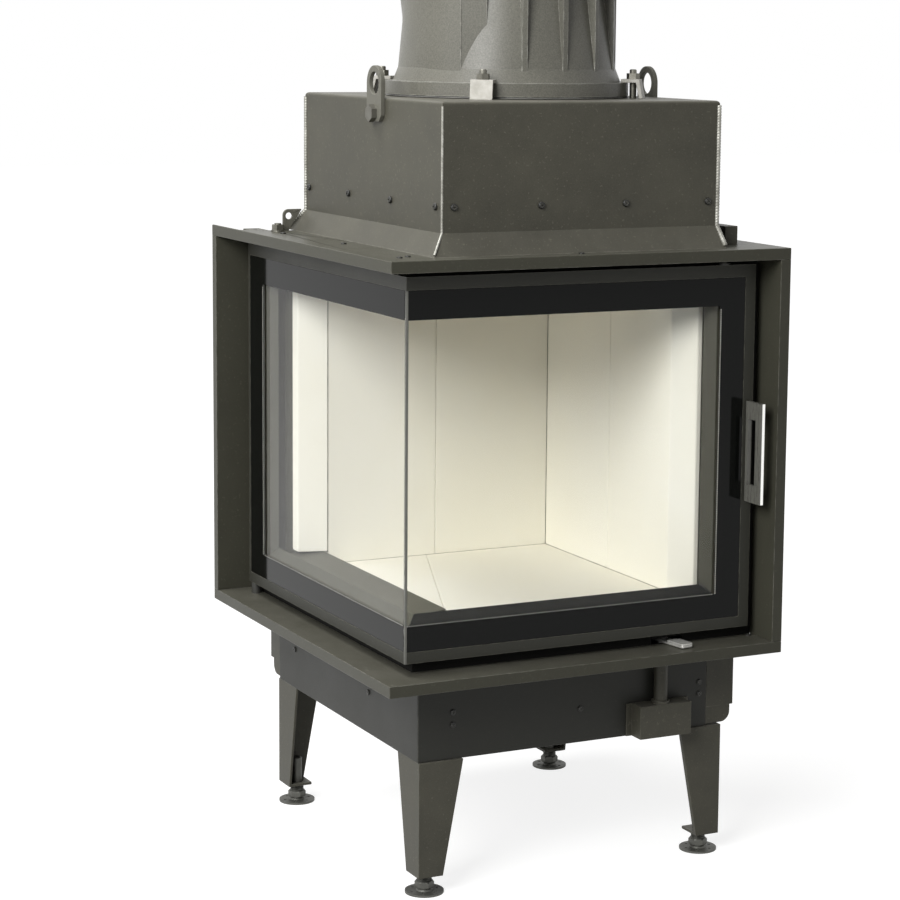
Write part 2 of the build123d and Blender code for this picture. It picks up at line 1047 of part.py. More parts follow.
eye = body_top + lug_eye_height
bolt = body_top + lug_bolt_height
sides = ((box_left, -1), (box_right, 1))
with BuildPart() as lifting_lugs:
    for wall, outward in sides:
        plate = Plane(origin=(*spot(wall, lug_back), eye), x_dir=(0, 0, 1), z_dir=(outward, 0, 0))
        with BuildSketch(plate) as lug_face:
            Circle(lug_width / 2)
            with Locations(((lug_foot_height - lug_eye_height) / 2, 0)):
                Rectangle(lug_eye_height - lug_foot_height, lug_width)
            chamfer(lug_face.vertices().group_by(Axis.X)[0], lug_foot_chamfer)
            Circle(lug_eye_radius, mode=Mode.SUBTRACT)
        extrude(lug_face.sketch, amount=lug_sheet)
save(lifting_lugs, "lifting_lugs")

with BuildPart() as lug_bolts:
    for wall, outward in sides:
        seat = facing(*spot(wall + outward * lug_sheet, lug_back), bolt, (outward, 0, 0))
        with BuildSketch(seat) as head:
            RegularPolygon(radius=lug_bolt_flats / 2, side_count=6, major_radius=False)
        extrude(head.sketch, amount=lug_bolt_head)
save(lug_bolts, "lug_bolts")

ear_plane = Plane(origin=(*spot(0, box_rear), body_top), x_dir=(1, 0, 0), z_dir=(0, -1, 0))
with BuildPart() as rear_ear:
    with BuildSketch(ear_plane) as ear_face:
        with BuildLine():
            Polyline(
                (ear_left, -frame_sheet),
                (box_left - skirt_flare - ear_gap, -frame_sheet),
                (box_left - skirt_flare - ear_gap, 0),
                (box_left - ear_gap, skirt_height),
                (box_left - ear_gap, ear_height),
                (ear_left, ear_height),
                close=True,
            )
        make_face()
        fillet(ear_face.vertices().group_by(Axis.Y)[-1].sort_by(Axis.X)[0], ear_round)
        with Locations((ear_hole_across, ear_hole_height)):
            Circle(ear_hole_radius, mode=Mode.SUBTRACT)
    extrude(ear_face.sketch, amount=-ear_sheet)
save(rear_ear, "rear_ear")

# Finned cast dome on its seal, with the flue spigot and the clamps that hold it
neck = flange_bottom + dome_neck_height
shoulder = neck - dome_shoulder_drop
knee = flange_bottom + dome_knee_height
fin_root = flange_bottom + dome_fin_root_height
fin_top = neck - dome_fin_top_drop
dome_inside = [
    (0, flange_bottom),
    (dome_bore_radius, flange_bottom),
    (dome_bore_radius, flange_top),
    (dome_knee_radius - dome_wall, knee),
    (dome_shoulder_radius - dome_wall, shoulder),
    (spigot_radius - spigot_wall, neck),
    (0, neck),
]
dome_outside = [
    (0, flange_bottom),
    (dome_flange_radius, flange_bottom),
    (dome_flange_radius, flange_top),
    (dome_root_radius, flange_top),
    (dome_knee_radius, knee),
    (dome_shoulder_radius, shoulder),
    (spigot_radius, neck),
    (0, neck),
]
dome_lobe = [
    (0, flange_top),
    (dome_root_radius, flange_top),
    (dome_knee_radius, knee),
    (dome_lobe_waist_radius, flange_bottom + dome_lobe_waist_height),
    (dome_lobe_radius, neck - dome_lobe_drop),
    (dome_shoulder_radius, shoulder),
    (0, shoulder),
]
dome_fin = [
    (spigot_radius, fin_root),
    (dome_fin_radius, fin_root),
    (dome_fin_radius, fin_top),
    (dome_shoulder_radius, shoulder),
    (spigot_radius, shoulder),
]
fin_plate = radial_plate(dome_fin, dome_fin_thickness)

# Cheek that meets the lobe on the near side, with a flat face at its end
cheek_middle = around(dome_cheek_offset, dome_lobe_end)
with BuildPart() as cheek:
    with BuildSketch(Plane.XY.offset(fin_root)) as cheek_plan:
        with Locations(cheek_middle):
            Circle(dome_cheek_radius)
        with BuildLine():
            Polyline(
                (0, 0),
                around(dome_flange_radius, dome_lobe_end),
                around(dome_flange_radius, dome_lobe_end - dome_cheek_arc / 2),
                around(dome_flange_radius, dome_lobe_end - dome_cheek_arc),
                close=True,
            )
        make_face(mode=Mode.INTERSECT)
    extrude(cheek_plan.sketch, amount=shoulder - fin_root)
    with BuildSketch(Plane.XY.offset(fin_root)) as flat_plan:
        with BuildLine():
            Polyline(
                (0, 0),
                around(dome_flat_radius, dome_lobe_end),
                around(dome_flat_end_radius, dome_flat_end),
                close=True,
            )
        make_face()
    extrude(flat_plan.sketch, amount=shoulder - fin_root)
    cheek_limit = [(0, fin_root), (dome_fin_radius, fin_root), *dome_lobe[4:6], (0, shoulder)]
    add(revolved(cheek_limit), mode=Mode.INTERSECT)

with BuildPart() as cast_dome:
    add(revolved(dome_outside))
    add(revolved(dome_lobe, dome_lobe_end - dome_lobe_start), rotation=(0, 0, dome_lobe_start))
    add(cheek.part)
    with PolarLocations(0, dome_fin_count, dome_fin_first, dome_fin_count * dome_fin_pitch):
        add(fin_plate)
    add(revolved(dome_inside), mode=Mode.SUBTRACT)
cast_dome.part = cast_dome.part.moved(Location((dome_x, dome_y, 0)))
save(cast_dome, "cast_dome")

# Bent clamps on the dome's flange, with their studs and nuts
clamp_outer = dome_flange_radius + clamp_reach
clamp_top = flange_top + clamp_sheet
with BuildPart() as clamp:
    add(
        radial_plate(
            [
                (dome_flange_radius - clamp_grip, flange_top),
                (clamp_outer - clamp_sheet, flange_top),
                (clamp_outer + clamp_foot_spread - clamp_sheet, box_top),
                (clamp_outer + clamp_foot_spread, box_top),
                (clamp_outer, clamp_top),
                (dome_flange_radius - clamp_grip, clamp_top),
            ],
            clamp_width,
        )
    )
    post((clamp_stud_circle, 0), clamp_stud_radius, flange_top, clamp_top, Mode.SUBTRACT)

with BuildPart() as stud:
    post((clamp_stud_circle, 0), clamp_stud_radius, box_top, box_top + clamp_stud_length)
    chamfer(stud.edges().sort_by(Axis.Z)[-1], clamp_stud_radius * thread_chamfer)
    upright_hex((clamp_stud_circle, 0), clamp_nut_flats, clamp_top, clamp_top + clamp_nut)

for name, source in (("dome_clamps", clamp), ("dome_clamp_bolts", stud)):
    with BuildPart() as ring:
        with Locations((dome_x, dome_y)):
            with PolarLocations(0, clamp_count, clamp_angle):
                add(source.part)
    save(ring, name)

with BuildPart() as dome_seal:
    post((dome_x, dome_y), dome_flange_radius, box_top, flange_bottom)
    post(
        (dome_x, dome_y),
        dome_flange_radius - gasket_width,
        box_top,
        flange_bottom,
        Mode.SUBTRACT,
    )
save(dome_seal, "dome_seal")

with BuildPart() as flue_spigot:
    post((dome_x, dome_y), spigot_radius, neck, neck + spigot_length)
    post(
        (dome_x, dome_y),
        spigot_radius - spigot_wall,
        neck,
        neck + spigot_length,
        Mode.SUBTRACT,
    )
save(flue_spigot, "flue_spigot")

# Window air duct beside the firebox
with BuildPart() as window_air_duct:
    slab(duct_outline(0), body, body_top + duct_rise)
    slab(duct_outline(duct_sheet), body, body_top + duct_rise - duct_sheet, Mode.SUBTRACT)
    slab(
        strip(
            duct_left + duct_sheet,
            duct_front,
            duct_left + duct_width - duct_sheet,
            duct_front + duct_sheet,
        ),
        body_ceiling - duct_window,
        body_ceiling,
        Mode.SUBTRACT,
    )
save(window_air_duct, "window_air_duct")

# L-shaped leaf with two panes, their clips, the rope seal and the handle
head = body + door_top
foot = body + door_bottom
glass_foot = foot + door_bottom_bar + glass_gap
glass_head = head - door_top_bar - glass_gap
glass_front = door_inset + glass_recess
glass_back = glass_front + glass
bar_left = door_width - door_right_bar
bar_front = door_depth - door_rear_bar

with BuildPart() as door_frame:
    slab(
        corner_strip(door_inset, door_back, door_width, door_depth),
        foot,
        foot + door_bottom_bar,
    )
    slab(
        corner_strip(door_inset, door_back, door_width, door_depth),
        head - door_top_bar,
        head,
    )
    slab(strip(bar_left, door_inset, door_width, door_back), foot, head)
    slab(strip(door_inset, bar_front, door_back, door_depth), foot, head)
    for start, stop in (
        (foot, foot + hinge_bore_depth),
        (head - hinge_bore_depth, head),
    ):
        post(
            (hinge_x, hinge_y),
            hinge_pin_radius + hinge_clearance,
            start,
            stop,
            Mode.SUBTRACT,
        )
    post(
        (catch_x, catch_y),
        catch_sleeve_radius,
        head - catch_sleeve_depth,
        head,
        Mode.SUBTRACT,
    )
    for height in handle_screw_heights:
        back = facing(handle_x, door_back_y, height, (0, 1, 0))
        peg(back, handle_screw_head_radius, -handle_screw_head, 0, Mode.SUBTRACT)
        peg(back, handle_screw_radius, -door_bar_depth, 0, Mode.SUBTRACT)
save(door_frame, "door_frame")

with BuildPart() as door_glass_front:
    slab(
        strip(glass_front, glass_front, bar_left - glass_gap, glass_back),
        glass_foot,
        glass_head,
    )
save(door_glass_front, "door_glass_front")

with BuildPart() as door_glass_side:
    slab(
        strip(glass_front, glass_back + glass_gap, glass_back, bar_front - glass_gap),
        glass_foot,
        glass_head,
    )
save(door_glass_side, "door_glass_side")

clip_front = door_back + clip_sheet
with BuildPart() as glass_clips:
    for edge, slope in ((foot + door_bottom_bar, 1), (head - door_top_bar, -1)):
        add(
            run_round_corner(
                [
                    (door_back, edge - clip_lap * slope),
                    (clip_front, edge - clip_lap * slope),
                    (clip_front, edge + clip_reach * slope),
                    (glass_back + glass_gap, edge + clip_reach * slope),
                    (glass_back + glass_gap, edge + (clip_reach - clip_sheet) * slope),
                    (door_back, edge + (clip_reach - clip_sheet) * slope),
                ],
                bar_left - glass_gap,
                bar_front - clip_reach,
            )
        )
save(glass_clips, "glass_clips")

seal_front = glass_back
seal_back = face_inset - bar_nose - seal_gap
seal_middle = (bar_width - seal_width) / 2
seal_outer_foot = body + opening_sill - bar_width + seal_middle
seal_outer_head = body + opening_head + bar_width - seal_middle
seal_right = opening_right + bar_width - seal_middle
seal_rear = opening_rear + bar_width - seal_middle
with BuildPart() as door_seal:
    for bottom in (seal_outer_foot, seal_outer_head - seal_width):
        slab(
            corner_strip(seal_front, seal_back, seal_right, seal_rear),
            bottom,
            bottom + seal_width,
        )
    slab(
        strip(seal_right - seal_width, seal_front, seal_right, seal_back),
        seal_outer_foot,
        seal_outer_head,
    )
    slab(
        strip(seal_front, seal_rear - seal_width, seal_back, seal_rear),
        seal_outer_foot,
        seal_outer_head,
    )
save(door_seal, "door_seal")

handle_low = body + handle_foot
window_back = door_inset - handle_spine
window_front = door_inset - handle_reach + handle_grip
with BuildPart() as door_handle:
    slab(
        strip(
            handle_across - handle_thickness / 2,
            door_inset - handle_reach,
            handle_across + handle_thickness / 2,
            door_inset,
        ),
        handle_low,
        handle_low + handle_height,
    )
    slab(
        strip(
            handle_across - handle_thickness / 2,
            window_front,
            handle_across + handle_thickness / 2,
            window_back,
        ),
        handle_low + handle_arm,
        handle_low + handle_height - handle_arm,
        Mode.SUBTRACT,
    )
    for height in handle_screw_heights:
        front = facing(handle_x, door_front_y, height, (0, 1, 0))
        peg(front, handle_screw_radius, -handle_screw_thread, 0, Mode.SUBTRACT)
save(door_handle, "door_handle")

with BuildPart() as handle_screws:
    for height in handle_screw_heights:
        back = facing(handle_x, door_back_y, height, (0, 1, 0))
        peg(back, handle_screw_head_radius, -handle_screw_head, 0)
        peg(back, handle_screw_radius, -door_bar_depth - handle_screw_thread, 0)
save(handle_screws, "handle_screws")

# Fixed pins above and below the leaf, on their brackets
head = body + door_top
foot = body + door_bottom
bracket_top = body_top - frame_sheet
with BuildPart() as hinge_bracket:
    slab(
        strip(
            hinge_across - hinge_plate_width / 2,
            hinge_back - hinge_plate_reach,
            hinge_across + hinge_plate_width / 2 - 2 * hinge_hole_clearance,
            hinge_back + hinge_plate_end,
        ),
        bracket_top - hinge_plate,
        bracket_top,
    )
    post(
        (hinge_x, hinge_y),
        hinge_pin_radius,
        bracket_top - hinge_plate,
        bracket_top,
        Mode.SUBTRACT,
    )
    post(
        spot(hinge_bolt_across, hinge_bolt_back),
        hinge_bolt_radius,
        bracket_top - hinge_plate,
        bracket_top,
        Mode.SUBTRACT,
    )
save(hinge_bracket, "hinge_bracket")

with BuildPart() as hinge_pins:
    post((hinge_x, hinge_y), hinge_pin_radius, head - hinge_engagement, bracket_top)
    post((hinge_x, hinge_y), hinge_collar_radius, body_floor, foot - hinge_thrust_gap)
    post((hinge_x, hinge_y), hinge_pin_radius, body_floor, foot + hinge_engagement)
save(hinge_pins, "hinge_pins")

bolt_place = spot(hinge_bolt_across, hinge_bolt_back)
washer_top = body_top + hinge_washer
nut_top = washer_top + hinge_nut
with BuildPart() as hinge_bolt_and_nut:
    post(bolt_place, hinge_washer_radius, body_top, washer_top)
    upright_hex(bolt_place, hinge_nut_flats, washer_top, nut_top)
    post(bolt_place, hinge_bolt_radius, bracket_top - hinge_plate, nut_top + hinge_washer)
save(hinge_bolt_and_nut, "hinge_bolt_and_nut")

# Spring ball catch in the leaf's top bar, and the strike plate over it
head = body + door_top
ball_bore = catch_ball_radius + catch_ball_clearance
with BuildPart() as catch_sleeve:
    post((catch_x, catch_y), catch_sleeve_radius, head - catch_sleeve_depth, head)
    with BuildSketch(Plane.XY.offset(head)) as flange_face:
        with Locations((catch_x, catch_y)):
            SlotOverall(catch_flange_width, catch_flange_depth)
    extrude(flange_face.sketch, amount=catch_flange)
    post(
        (catch_x, catch_y),
        ball_bore,
        head - catch_sleeve_depth + catch_flange,
        head + catch_flange,
        Mode.SUBTRACT,
    )
save(catch_sleeve, "catch_sleeve")

with BuildPart() as catch_ball:
    with Locations((catch_x, catch_y, head + catch_flange - catch_ball_sink)):
        Sphere(catch_ball_radius)
save(catch_ball, "catch_ball")

ball_top = head + catch_flange - catch_ball_sink + catch_ball_radius
with BuildPart() as catch_strike:
    slab(
        strip(
            catch_across - strike_width / 2,
            catch_back - strike_depth / 2,
            catch_across + strike_width / 2,
            catch_back + strike_depth / 2,
        ),
        ball_top + catch_gap,
        body_ceiling,
    )
save(catch_strike, "catch_strike")

# Air plenum under the surround: tray, panels, casing and port shelf
tray_top = base_bottom + tray_height
inner_front = base_front + base_sheet
inner_left = base_left + base_sheet
tray_right = base_right - tray_inset
tray_rear = base_rear - tray_inset

shelf_top = body - shutter_drop - shutter_gap
window_left = air_box_left + air_box_flange + air_box_sheet
window_right = air_box_left + air_box_width - air_box_flange - air_box_sheet
with BuildPart() as base_tray:
    add(tray_block(0, base_bottom + base_sheet))
    add(tray_block(base_sheet, base_bottom + 2 * base_sheet), mode=Mode.SUBTRACT)
    slab(
        strip(window_left, inner_front, window_right, inner_front + base_sheet),
        shelf_top - shelf_sheet,
        tray_top,
        Mode.SUBTRACT,
    )
    post(
        (inlet_x, inlet_y),
        inlet_radius - inlet_wall,
        base_bottom,
        tray_top,
        Mode.SUBTRACT,
    )
save(base_tray, "base_tray")

with BuildPart() as base_front_panel:
    slab(
        strip(base_left, base_front, base_joint_across, inner_front),
        base_bottom,
        body,
    )
    slab(
        strip(inner_left, inner_front, base_joint_across, inner_front + panel_flange),
        base_bottom,
        base_bottom + base_sheet,
    )
    slab(
        strip(window_left, base_front, window_right, inner_front),
        shelf_top - shelf_sheet,
        shelf_top + air_window,
        Mode.SUBTRACT,
    )
save(base_front_panel, "base_front_panel")

with BuildPart() as base_side_panel:
    slab(
        strip(base_left, inner_front + panel_gap, inner_left, base_joint_back),
        base_bottom,
        body,
    )
    slab(
        strip(
            inner_left,
            inner_front + panel_flange + panel_gap,
            inner_left + panel_flange,
            base_joint_back,
        ),
        base_bottom,
        base_bottom + base_sheet,
    )
save(base_side_panel, "base_side_panel")

with BuildPart() as base_casing:
    slab(
        [
            (base_joint_across + panel_gap, base_front),
            (base_right, base_front),
            (base_right, base_rear),
            (base_left, base_rear),
            (base_left, base_joint_back + panel_gap),
            (inner_left, base_joint_back + panel_gap),
            (inner_left, base_rear - base_sheet),
            (base_right - base_sheet, base_rear - base_sheet),
            (base_right - base_sheet, inner_front),
            (base_joint_across + panel_gap, inner_front),
        ],
        tray_top,
        body,
    )
    slab(
        [
            (tray_right - base_sheet, inner_front),
            (base_right - base_sheet, inner_front),
            (base_right - base_sheet, base_rear - base_sheet),
            (inner_left, base_rear - base_sheet),
            (inner_left, tray_rear - base_sheet),
            (tray_right - base_sheet, tray_rear - base_sheet),
        ],
        tray_top,
        tray_top + base_sheet,
    )
save(base_casing, "base_casing")

with BuildPart() as port_shelf:
    slab(
        strip(
            inner_left + base_sheet + panel_gap,
            inner_front + base_sheet + panel_gap,
            tray_right - base_sheet - panel_gap,
            tray_rear - base_sheet - panel_gap,
        ),
        shelf_top - shelf_sheet,
        shelf_top,
    )
    add(
        sector(
            port_inner_radius,
            port_outer_radius,
            port_mid_angle,
            port_arc,
            shelf_top - shelf_sheet,
            shelf_top,
        ),
        mode=Mode.SUBTRACT,
    )
save(port_shelf, "port_shelf")

# Guide tube, box and lever of the air supply, with the rotary shutter on its shaft
tube_foot = body - air_tube_length
with BuildPart() as air_guide_tube:
    post((air_x, air_y), air_tube_radius, tube_foot, body + frame_sheet)
    post((air_x, air_y), air_collar_radius, tube_foot, tube_foot + air_collar)
    post(
        (air_x, air_y),
        air_shaft_radius + air_clearance,
        tube_foot,
        body + frame_sheet,
        Mode.SUBTRACT,
    )
save(air_guide_tube, "air_guide_tube")

air_box_right = air_box_left + air_box_width
box_front_face = base_front - air_box_depth
with BuildPart() as air_box:
    slab(
        strip(
            air_box_left + air_box_flange,
            box_front_face,
            air_box_right - air_box_flange,
            base_front,
        ),
        tube_foot - air_box_height,
        tube_foot,
    )
    slab(
        strip(air_box_left, base_front - air_box_sheet, air_box_right, base_front),
        tube_foot - air_box_height,
        tube_foot,
    )
    slab(
        strip(
            air_box_left + air_box_flange + air_box_sheet,
            box_front_face + air_box_sheet,
            air_box_right - air_box_flange - air_box_sheet,
            base_front,
        ),
        tube_foot - air_box_height + air_box_sheet,
        tube_foot - air_box_sheet,
        Mode.SUBTRACT,
    )
    post(
        (air_x, air_y),
        air_shaft_radius + air_box_gap,
        tube_foot - air_box_sheet,
        tube_foot,
        Mode.SUBTRACT,
    )
save(air_box, "air_box")

lever_bottom = body_floor + lever_lift
lever_top = lever_bottom + lever_sheet
shutter_bottom = body - shutter_drop
with BuildPart() as air_shaft:
    post((air_x, air_y), air_shaft_radius, shutter_bottom, lever_bottom)
    post(
        (air_x, air_y),
        air_shoulder_radius,
        body + frame_sheet + air_shoulder_gap,
        lever_bottom,
    )
    post((air_x, air_y), air_thread_radius, lever_bottom, lever_top + lever_nut + lever_lift)
save(air_shaft, "air_shaft")

with BuildPart() as air_lever:
    with BuildSketch(Plane.XY.offset(lever_bottom)) as lever_plan:
        Circle(lever_width / 2)
        with Locations((0, -lever_length / 2)):
            Rectangle(lever_width, lever_length)
        fillet(lever_plan.vertices().sort_by(Axis.Y)[:2], lever_tip_round)
        with Locations((0, lever_eye_inset - lever_length)):
            Circle(lever_eye_radius, mode=Mode.SUBTRACT)
        Circle(air_thread_radius, mode=Mode.SUBTRACT)
    extrude(amount=lever_sheet)
air_lever.part = air_lever.part.moved(Location((air_x, air_y, 0), (0, 0, lever_angle)))
save(air_lever, "air_lever")

with BuildPart() as air_lever_nut:
    upright_hex((air_x, air_y), lever_nut_flats, lever_top, lever_top + lever_nut)
    post(
        (air_x, air_y),
        air_thread_radius,
        lever_top,
        lever_top + lever_nut,
        Mode.SUBTRACT,
    )
save(air_lever_nut, "air_lever_nut")

with BuildPart() as air_shutter:
    post((air_x, air_y), shutter_hub_radius, shutter_bottom, shutter_bottom + shutter_hub)
    add(
        sector(
            air_shaft_radius,
            shutter_radius,
            straight_back + lever_angle,
            shutter_arc,
            shutter_bottom,
            shutter_bottom + shutter_sheet,
        )
    )
    post(
        (air_x, air_y),
        air_shaft_radius,
        shutter_bottom,
        shutter_bottom + shutter_hub,
        Mode.SUBTRACT,
    )
save(air_shutter, "air_shutter")

# Small domed screws of the base and the surround
base_left_screw = base_left + base_screw_left
base_right_screw = base_joint_across - base_screw_edge
low_screw = base_screw_drop + base_screw_pitch
with BuildPart() as panel_screws:
    for across, drop in (
        (base_left_screw, base_screw_drop),
        (base_left_screw, low_screw),
        ((base_left + base_right) / 2, low_screw),
        (base_right_screw, base_screw_drop),
        (base_right_screw, low_screw),
    ):
        place = facing(*spot(across, base_front), body - drop, (0, -1, 0))
        add(button_head(place, base_screw_radius, base_screw_head))
    for back in (base_front + base_side_screw_front, base_joint_back - base_side_screw_rear):
        place = facing(*spot(base_left, back), body - base_side_screw_drop, (-1, 0, 0))
        add(button_head(place, base_screw_radius, base_screw_head))
    for across, back in surround_screw_places:
        place = facing(*spot(across, back), body_top, (0, 0, 1))
        add(button_head(place, surround_screw_radius, surround_screw_head))
    place = facing(*spot(frame_width - plate_screw_inset, plate_screw_back), body_floor, (0, 0, 1))
    add(button_head(place, surround_screw_radius, surround_screw_head))
save(panel_screws, "panel_screws")

# Outside air spigot under the base
with BuildPart() as air_inlet_spigot:
    post((inlet_x, inlet_y), inlet_radius, base_bottom - inlet_length, base_bottom + base_sheet)
    post(
        (inlet_x, inlet_y),
        inlet_flange_radius,
        base_bottom,
        base_bottom + base_sheet,
    )
    post(
        (inlet_x, inlet_y),
        inlet_radius - inlet_wall,
        base_bottom - inlet_length,
        base_bottom + base_sheet,
        Mode.SUBTRACT,
    )
save(air_inlet_spigot, "air_inlet_spigot")

# Folded tapered leg, made once in its near corner and mirrored to the others
with BuildPart() as leg:
    with BuildSketch(Plane.XZ) as leg_face:
        with BuildLine():
            Polyline(
                (0, leg_base),
                (leg_bottom, leg_base),
                (leg_top, base_bottom),
                (0, base_bottom),
                close=True,
            )
        make_face()
    extrude(leg_face.sketch, amount=-leg_sheet)
    with BuildSketch(Plane.YZ) as leg_side:
        with BuildLine():
            Polyline(
                (0, leg_base),
                (leg_bottom, leg_base),
                (leg_top, base_bottom),
                (0, base_bottom),
                close=True,
            )
        make_face()
    extrude(leg_side.sketch, amount=leg_sheet)
    with BuildSketch(Plane.XY.offset(leg_base)):
        Rectangle(leg_bottom, leg_bottom, align=(Align.MIN, Align.MIN))
        with Locations((foot_inset, foot_inset)):
            Circle(foot_stud_radius + foot_hole_clearance, mode=Mode.SUBTRACT)
    extrude(amount=leg_sheet)
    with BuildSketch(Plane.XY.offset(base_bottom)):
        Rectangle(leg_pad, leg_pad, align=(Align.MIN, Align.MIN))
        with Locations((foot_inset, foot_inset)):
            Circle(foot_stud_radius + foot_hole_clearance, mode=Mode.SUBTRACT)
    extrude(amount=-leg_sheet)

with BuildPart() as foot_nuts_pair:
    upright_hex((foot_inset, foot_inset), foot_nut_flats, lock_nut_bottom, leg_base)
    post(
        (foot_inset, foot_inset),
        foot_stud_radius + foot_clearance,
        lock_nut_bottom,
        leg_base,
        Mode.SUBTRACT,
    )

with BuildPart() as foot:
    with BuildSketch(Plane.XY):
        with Locations((foot_inset, foot_inset)):
            Circle(foot_radius)
            with PolarLocations(foot_hole_circle, foot_hole_count):
                Circle(foot_hole_radius, mode=Mode.SUBTRACT)
    extrude(amount=foot_disc)
    with BuildSketch(Plane.XY.offset(foot_disc)):
        with Locations((foot_inset, foot_inset)):
            Circle(foot_hub_radius)
    with BuildSketch(Plane.XY.offset(foot_hub)):
        with Locations((foot_inset, foot_inset)):
            Circle(foot_hub_top_radius)
    loft()
    post((foot_inset, foot_inset), foot_stud_radius, foot_hub, foot_stud_height)
    chamfer(foot.edges().sort_by(Axis.Z)[-1], foot_stud_radius * thread_chamfer)


def at_corner(piece, across, back, turned_across, turned_back):
    """Copy of a piece made for the near left corner, mirrored into another corner."""
    with BuildPart() as copy:
        add(piece)
        if turned_across:
            mirror(about=Plane.YZ, mode=Mode.REPLACE)
        if turned_back:
            mirror(about=Plane.XZ, mode=Mode.REPLACE)
    return copy.part.moved(Location((*spot(across, back), 0)))


corners = {
    "front_left": (base_left, base_front, False, False),
    "front_right": (leg_right, base_front, True, False),
    "rear_left": (base_left, leg_rear, False, True),
    "rear_right": (leg_right, leg_rear, True, True),
}
for name, source in (("legs", leg), ("foot_nuts", foot_nuts_pair)):
    with BuildPart() as group:
        for corner in corners.values():
            add(at_corner(source.part, *corner))
    save(group, name)

for name, corner in corners.items():
    with BuildPart() as levelling_foot:
        add(at_corner(foot.part, *corner))
    save(levelling_foot, f"foot_{name}")
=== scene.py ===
import json
from math import ceil, cos, pi, radians, sin, tau

import bpy
import bmesh
from mathutils import Matrix, Vector


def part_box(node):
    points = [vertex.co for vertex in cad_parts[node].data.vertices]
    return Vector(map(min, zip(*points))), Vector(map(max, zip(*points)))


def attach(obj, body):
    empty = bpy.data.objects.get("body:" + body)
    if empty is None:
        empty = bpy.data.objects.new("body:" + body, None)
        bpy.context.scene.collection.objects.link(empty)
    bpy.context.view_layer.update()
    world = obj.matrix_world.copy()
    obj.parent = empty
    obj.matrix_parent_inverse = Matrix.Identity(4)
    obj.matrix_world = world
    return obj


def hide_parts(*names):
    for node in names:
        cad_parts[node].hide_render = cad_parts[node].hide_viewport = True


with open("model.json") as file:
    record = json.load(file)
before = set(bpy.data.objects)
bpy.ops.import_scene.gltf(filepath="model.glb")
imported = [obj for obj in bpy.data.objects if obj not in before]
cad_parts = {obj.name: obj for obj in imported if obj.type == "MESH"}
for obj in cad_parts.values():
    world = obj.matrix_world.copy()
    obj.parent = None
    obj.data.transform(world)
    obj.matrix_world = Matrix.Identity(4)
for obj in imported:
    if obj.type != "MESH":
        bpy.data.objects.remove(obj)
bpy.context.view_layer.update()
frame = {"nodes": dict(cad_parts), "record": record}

# Looks of the corner fireplace insert. Everything is in metres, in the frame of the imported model:
# +Z up, the front glass faces -Y, the side glass faces -X and the floor is at Z = 0.

MM = 0.001


# Places that more than one section uses: the clear opening in the print on the two panes

print_bottom = 319.0 * MM
print_top = 647.0 * MM
print_right = 173.5 * MM
print_rear = 179.5 * MM


# Small helpers for shader trees

def fill(tree, node, inputs):
    """Fills a node's inputs with values or links."""
    for name, value in inputs.items():
        socket = node.inputs[name]
        if isinstance(value, bpy.types.NodeSocket):
            tree.links.new(value, socket)
        else:
            socket.default_value = value


def place(tree, kind, inputs=None, **settings):
    """Adds a node, sets its properties and fills its inputs."""
    made = tree.nodes.new(kind)
    for name, value in settings.items():
        setattr(made, name, value)
    fill(tree, made, inputs or {})
    return made


def reckon(tree, operation, first, second):
    """Result of a sum, product or the like of two values."""
    return place(tree, "ShaderNodeMath", {0: first, 1: second}, operation=operation).outputs[0]


def add(tree, first, second):
    """Sum of two values."""
    return reckon(tree, "ADD", first, second)


def less(tree, first, second):
    """The first value less the second."""
    return reckon(tree, "SUBTRACT", first, second)


def times(tree, first, second):
    """Product of two values."""
    return reckon(tree, "MULTIPLY", first, second)


def rescale(tree, value, low, high, to_low=0.0, to_high=1.0):
    """A value moved from one span to another, held inside it."""
    spans = {"Value": value, "From Min": low, "From Max": high, "To Min": to_low, "To Max": to_high}
    return place(tree, "ShaderNodeMapRange", spans, clamp=True).outputs["Result"]


def mix_colours(tree, mask, first, second):
    """Two colours mixed by a mask."""
    return place(tree, "ShaderNodeMix", {0: mask, 6: first, 7: second}, data_type="RGBA").outputs[2]


def shaded(tree, colour, shade):
    """A colour made lighter or darker by a factor."""
    inputs = {0: colour, "Scale": shade}
    return place(tree, "ShaderNodeVectorMath", inputs, operation="SCALE").outputs[0]


def noise(tree, coords, scale, detail=3.0, roughness=0.55):
    """Soft noise between 0 and 1 over coordinates in metres."""
    inputs = {"Vector": coords, "Scale": scale, "Detail": detail, "Roughness": roughness}
    return place(tree, "ShaderNodeTexNoise", inputs).outputs["Fac"]


def cells(tree, coords, scale):
    """Outputs of a pattern of cells over coordinates in metres."""
    return place(tree, "ShaderNodeTexVoronoi", {"Vector": coords, "Scale": scale}).outputs


def place_coords(tree):
    """Coordinates of the surface in metres."""
    return place(tree, "ShaderNodeTexCoord").outputs["Object"]


def place_xyz(tree):
    """X, Y and Z of the surface in metres."""
    return place(tree, "ShaderNodeSeparateXYZ", {0: place_coords(tree)}).outputs


def group(name, takes, gives):
    """Empty shader group with named inputs and outputs, as (tree, inputs, output node)."""
    tree = bpy.data.node_groups.new(name, "ShaderNodeTree")
    kinds = {"colour": "NodeSocketColor", "value": "NodeSocketFloat", "vector": "NodeSocketVector"}
    for way, sockets in (("INPUT", takes), ("OUTPUT", gives)):
        for label, kind in sockets:
            tree.interface.new_socket(label, in_out=way, socket_type=kinds[kind])
    return tree, tree.nodes.new("NodeGroupInput").outputs, tree.nodes.new("NodeGroupOutput")


def use(tree, shared, **inputs):
    """Outputs of a shared group placed in a material with its own values."""
    return place(tree, "ShaderNodeGroup", inputs, node_tree=shared).outputs


# Effects shared by several finishes

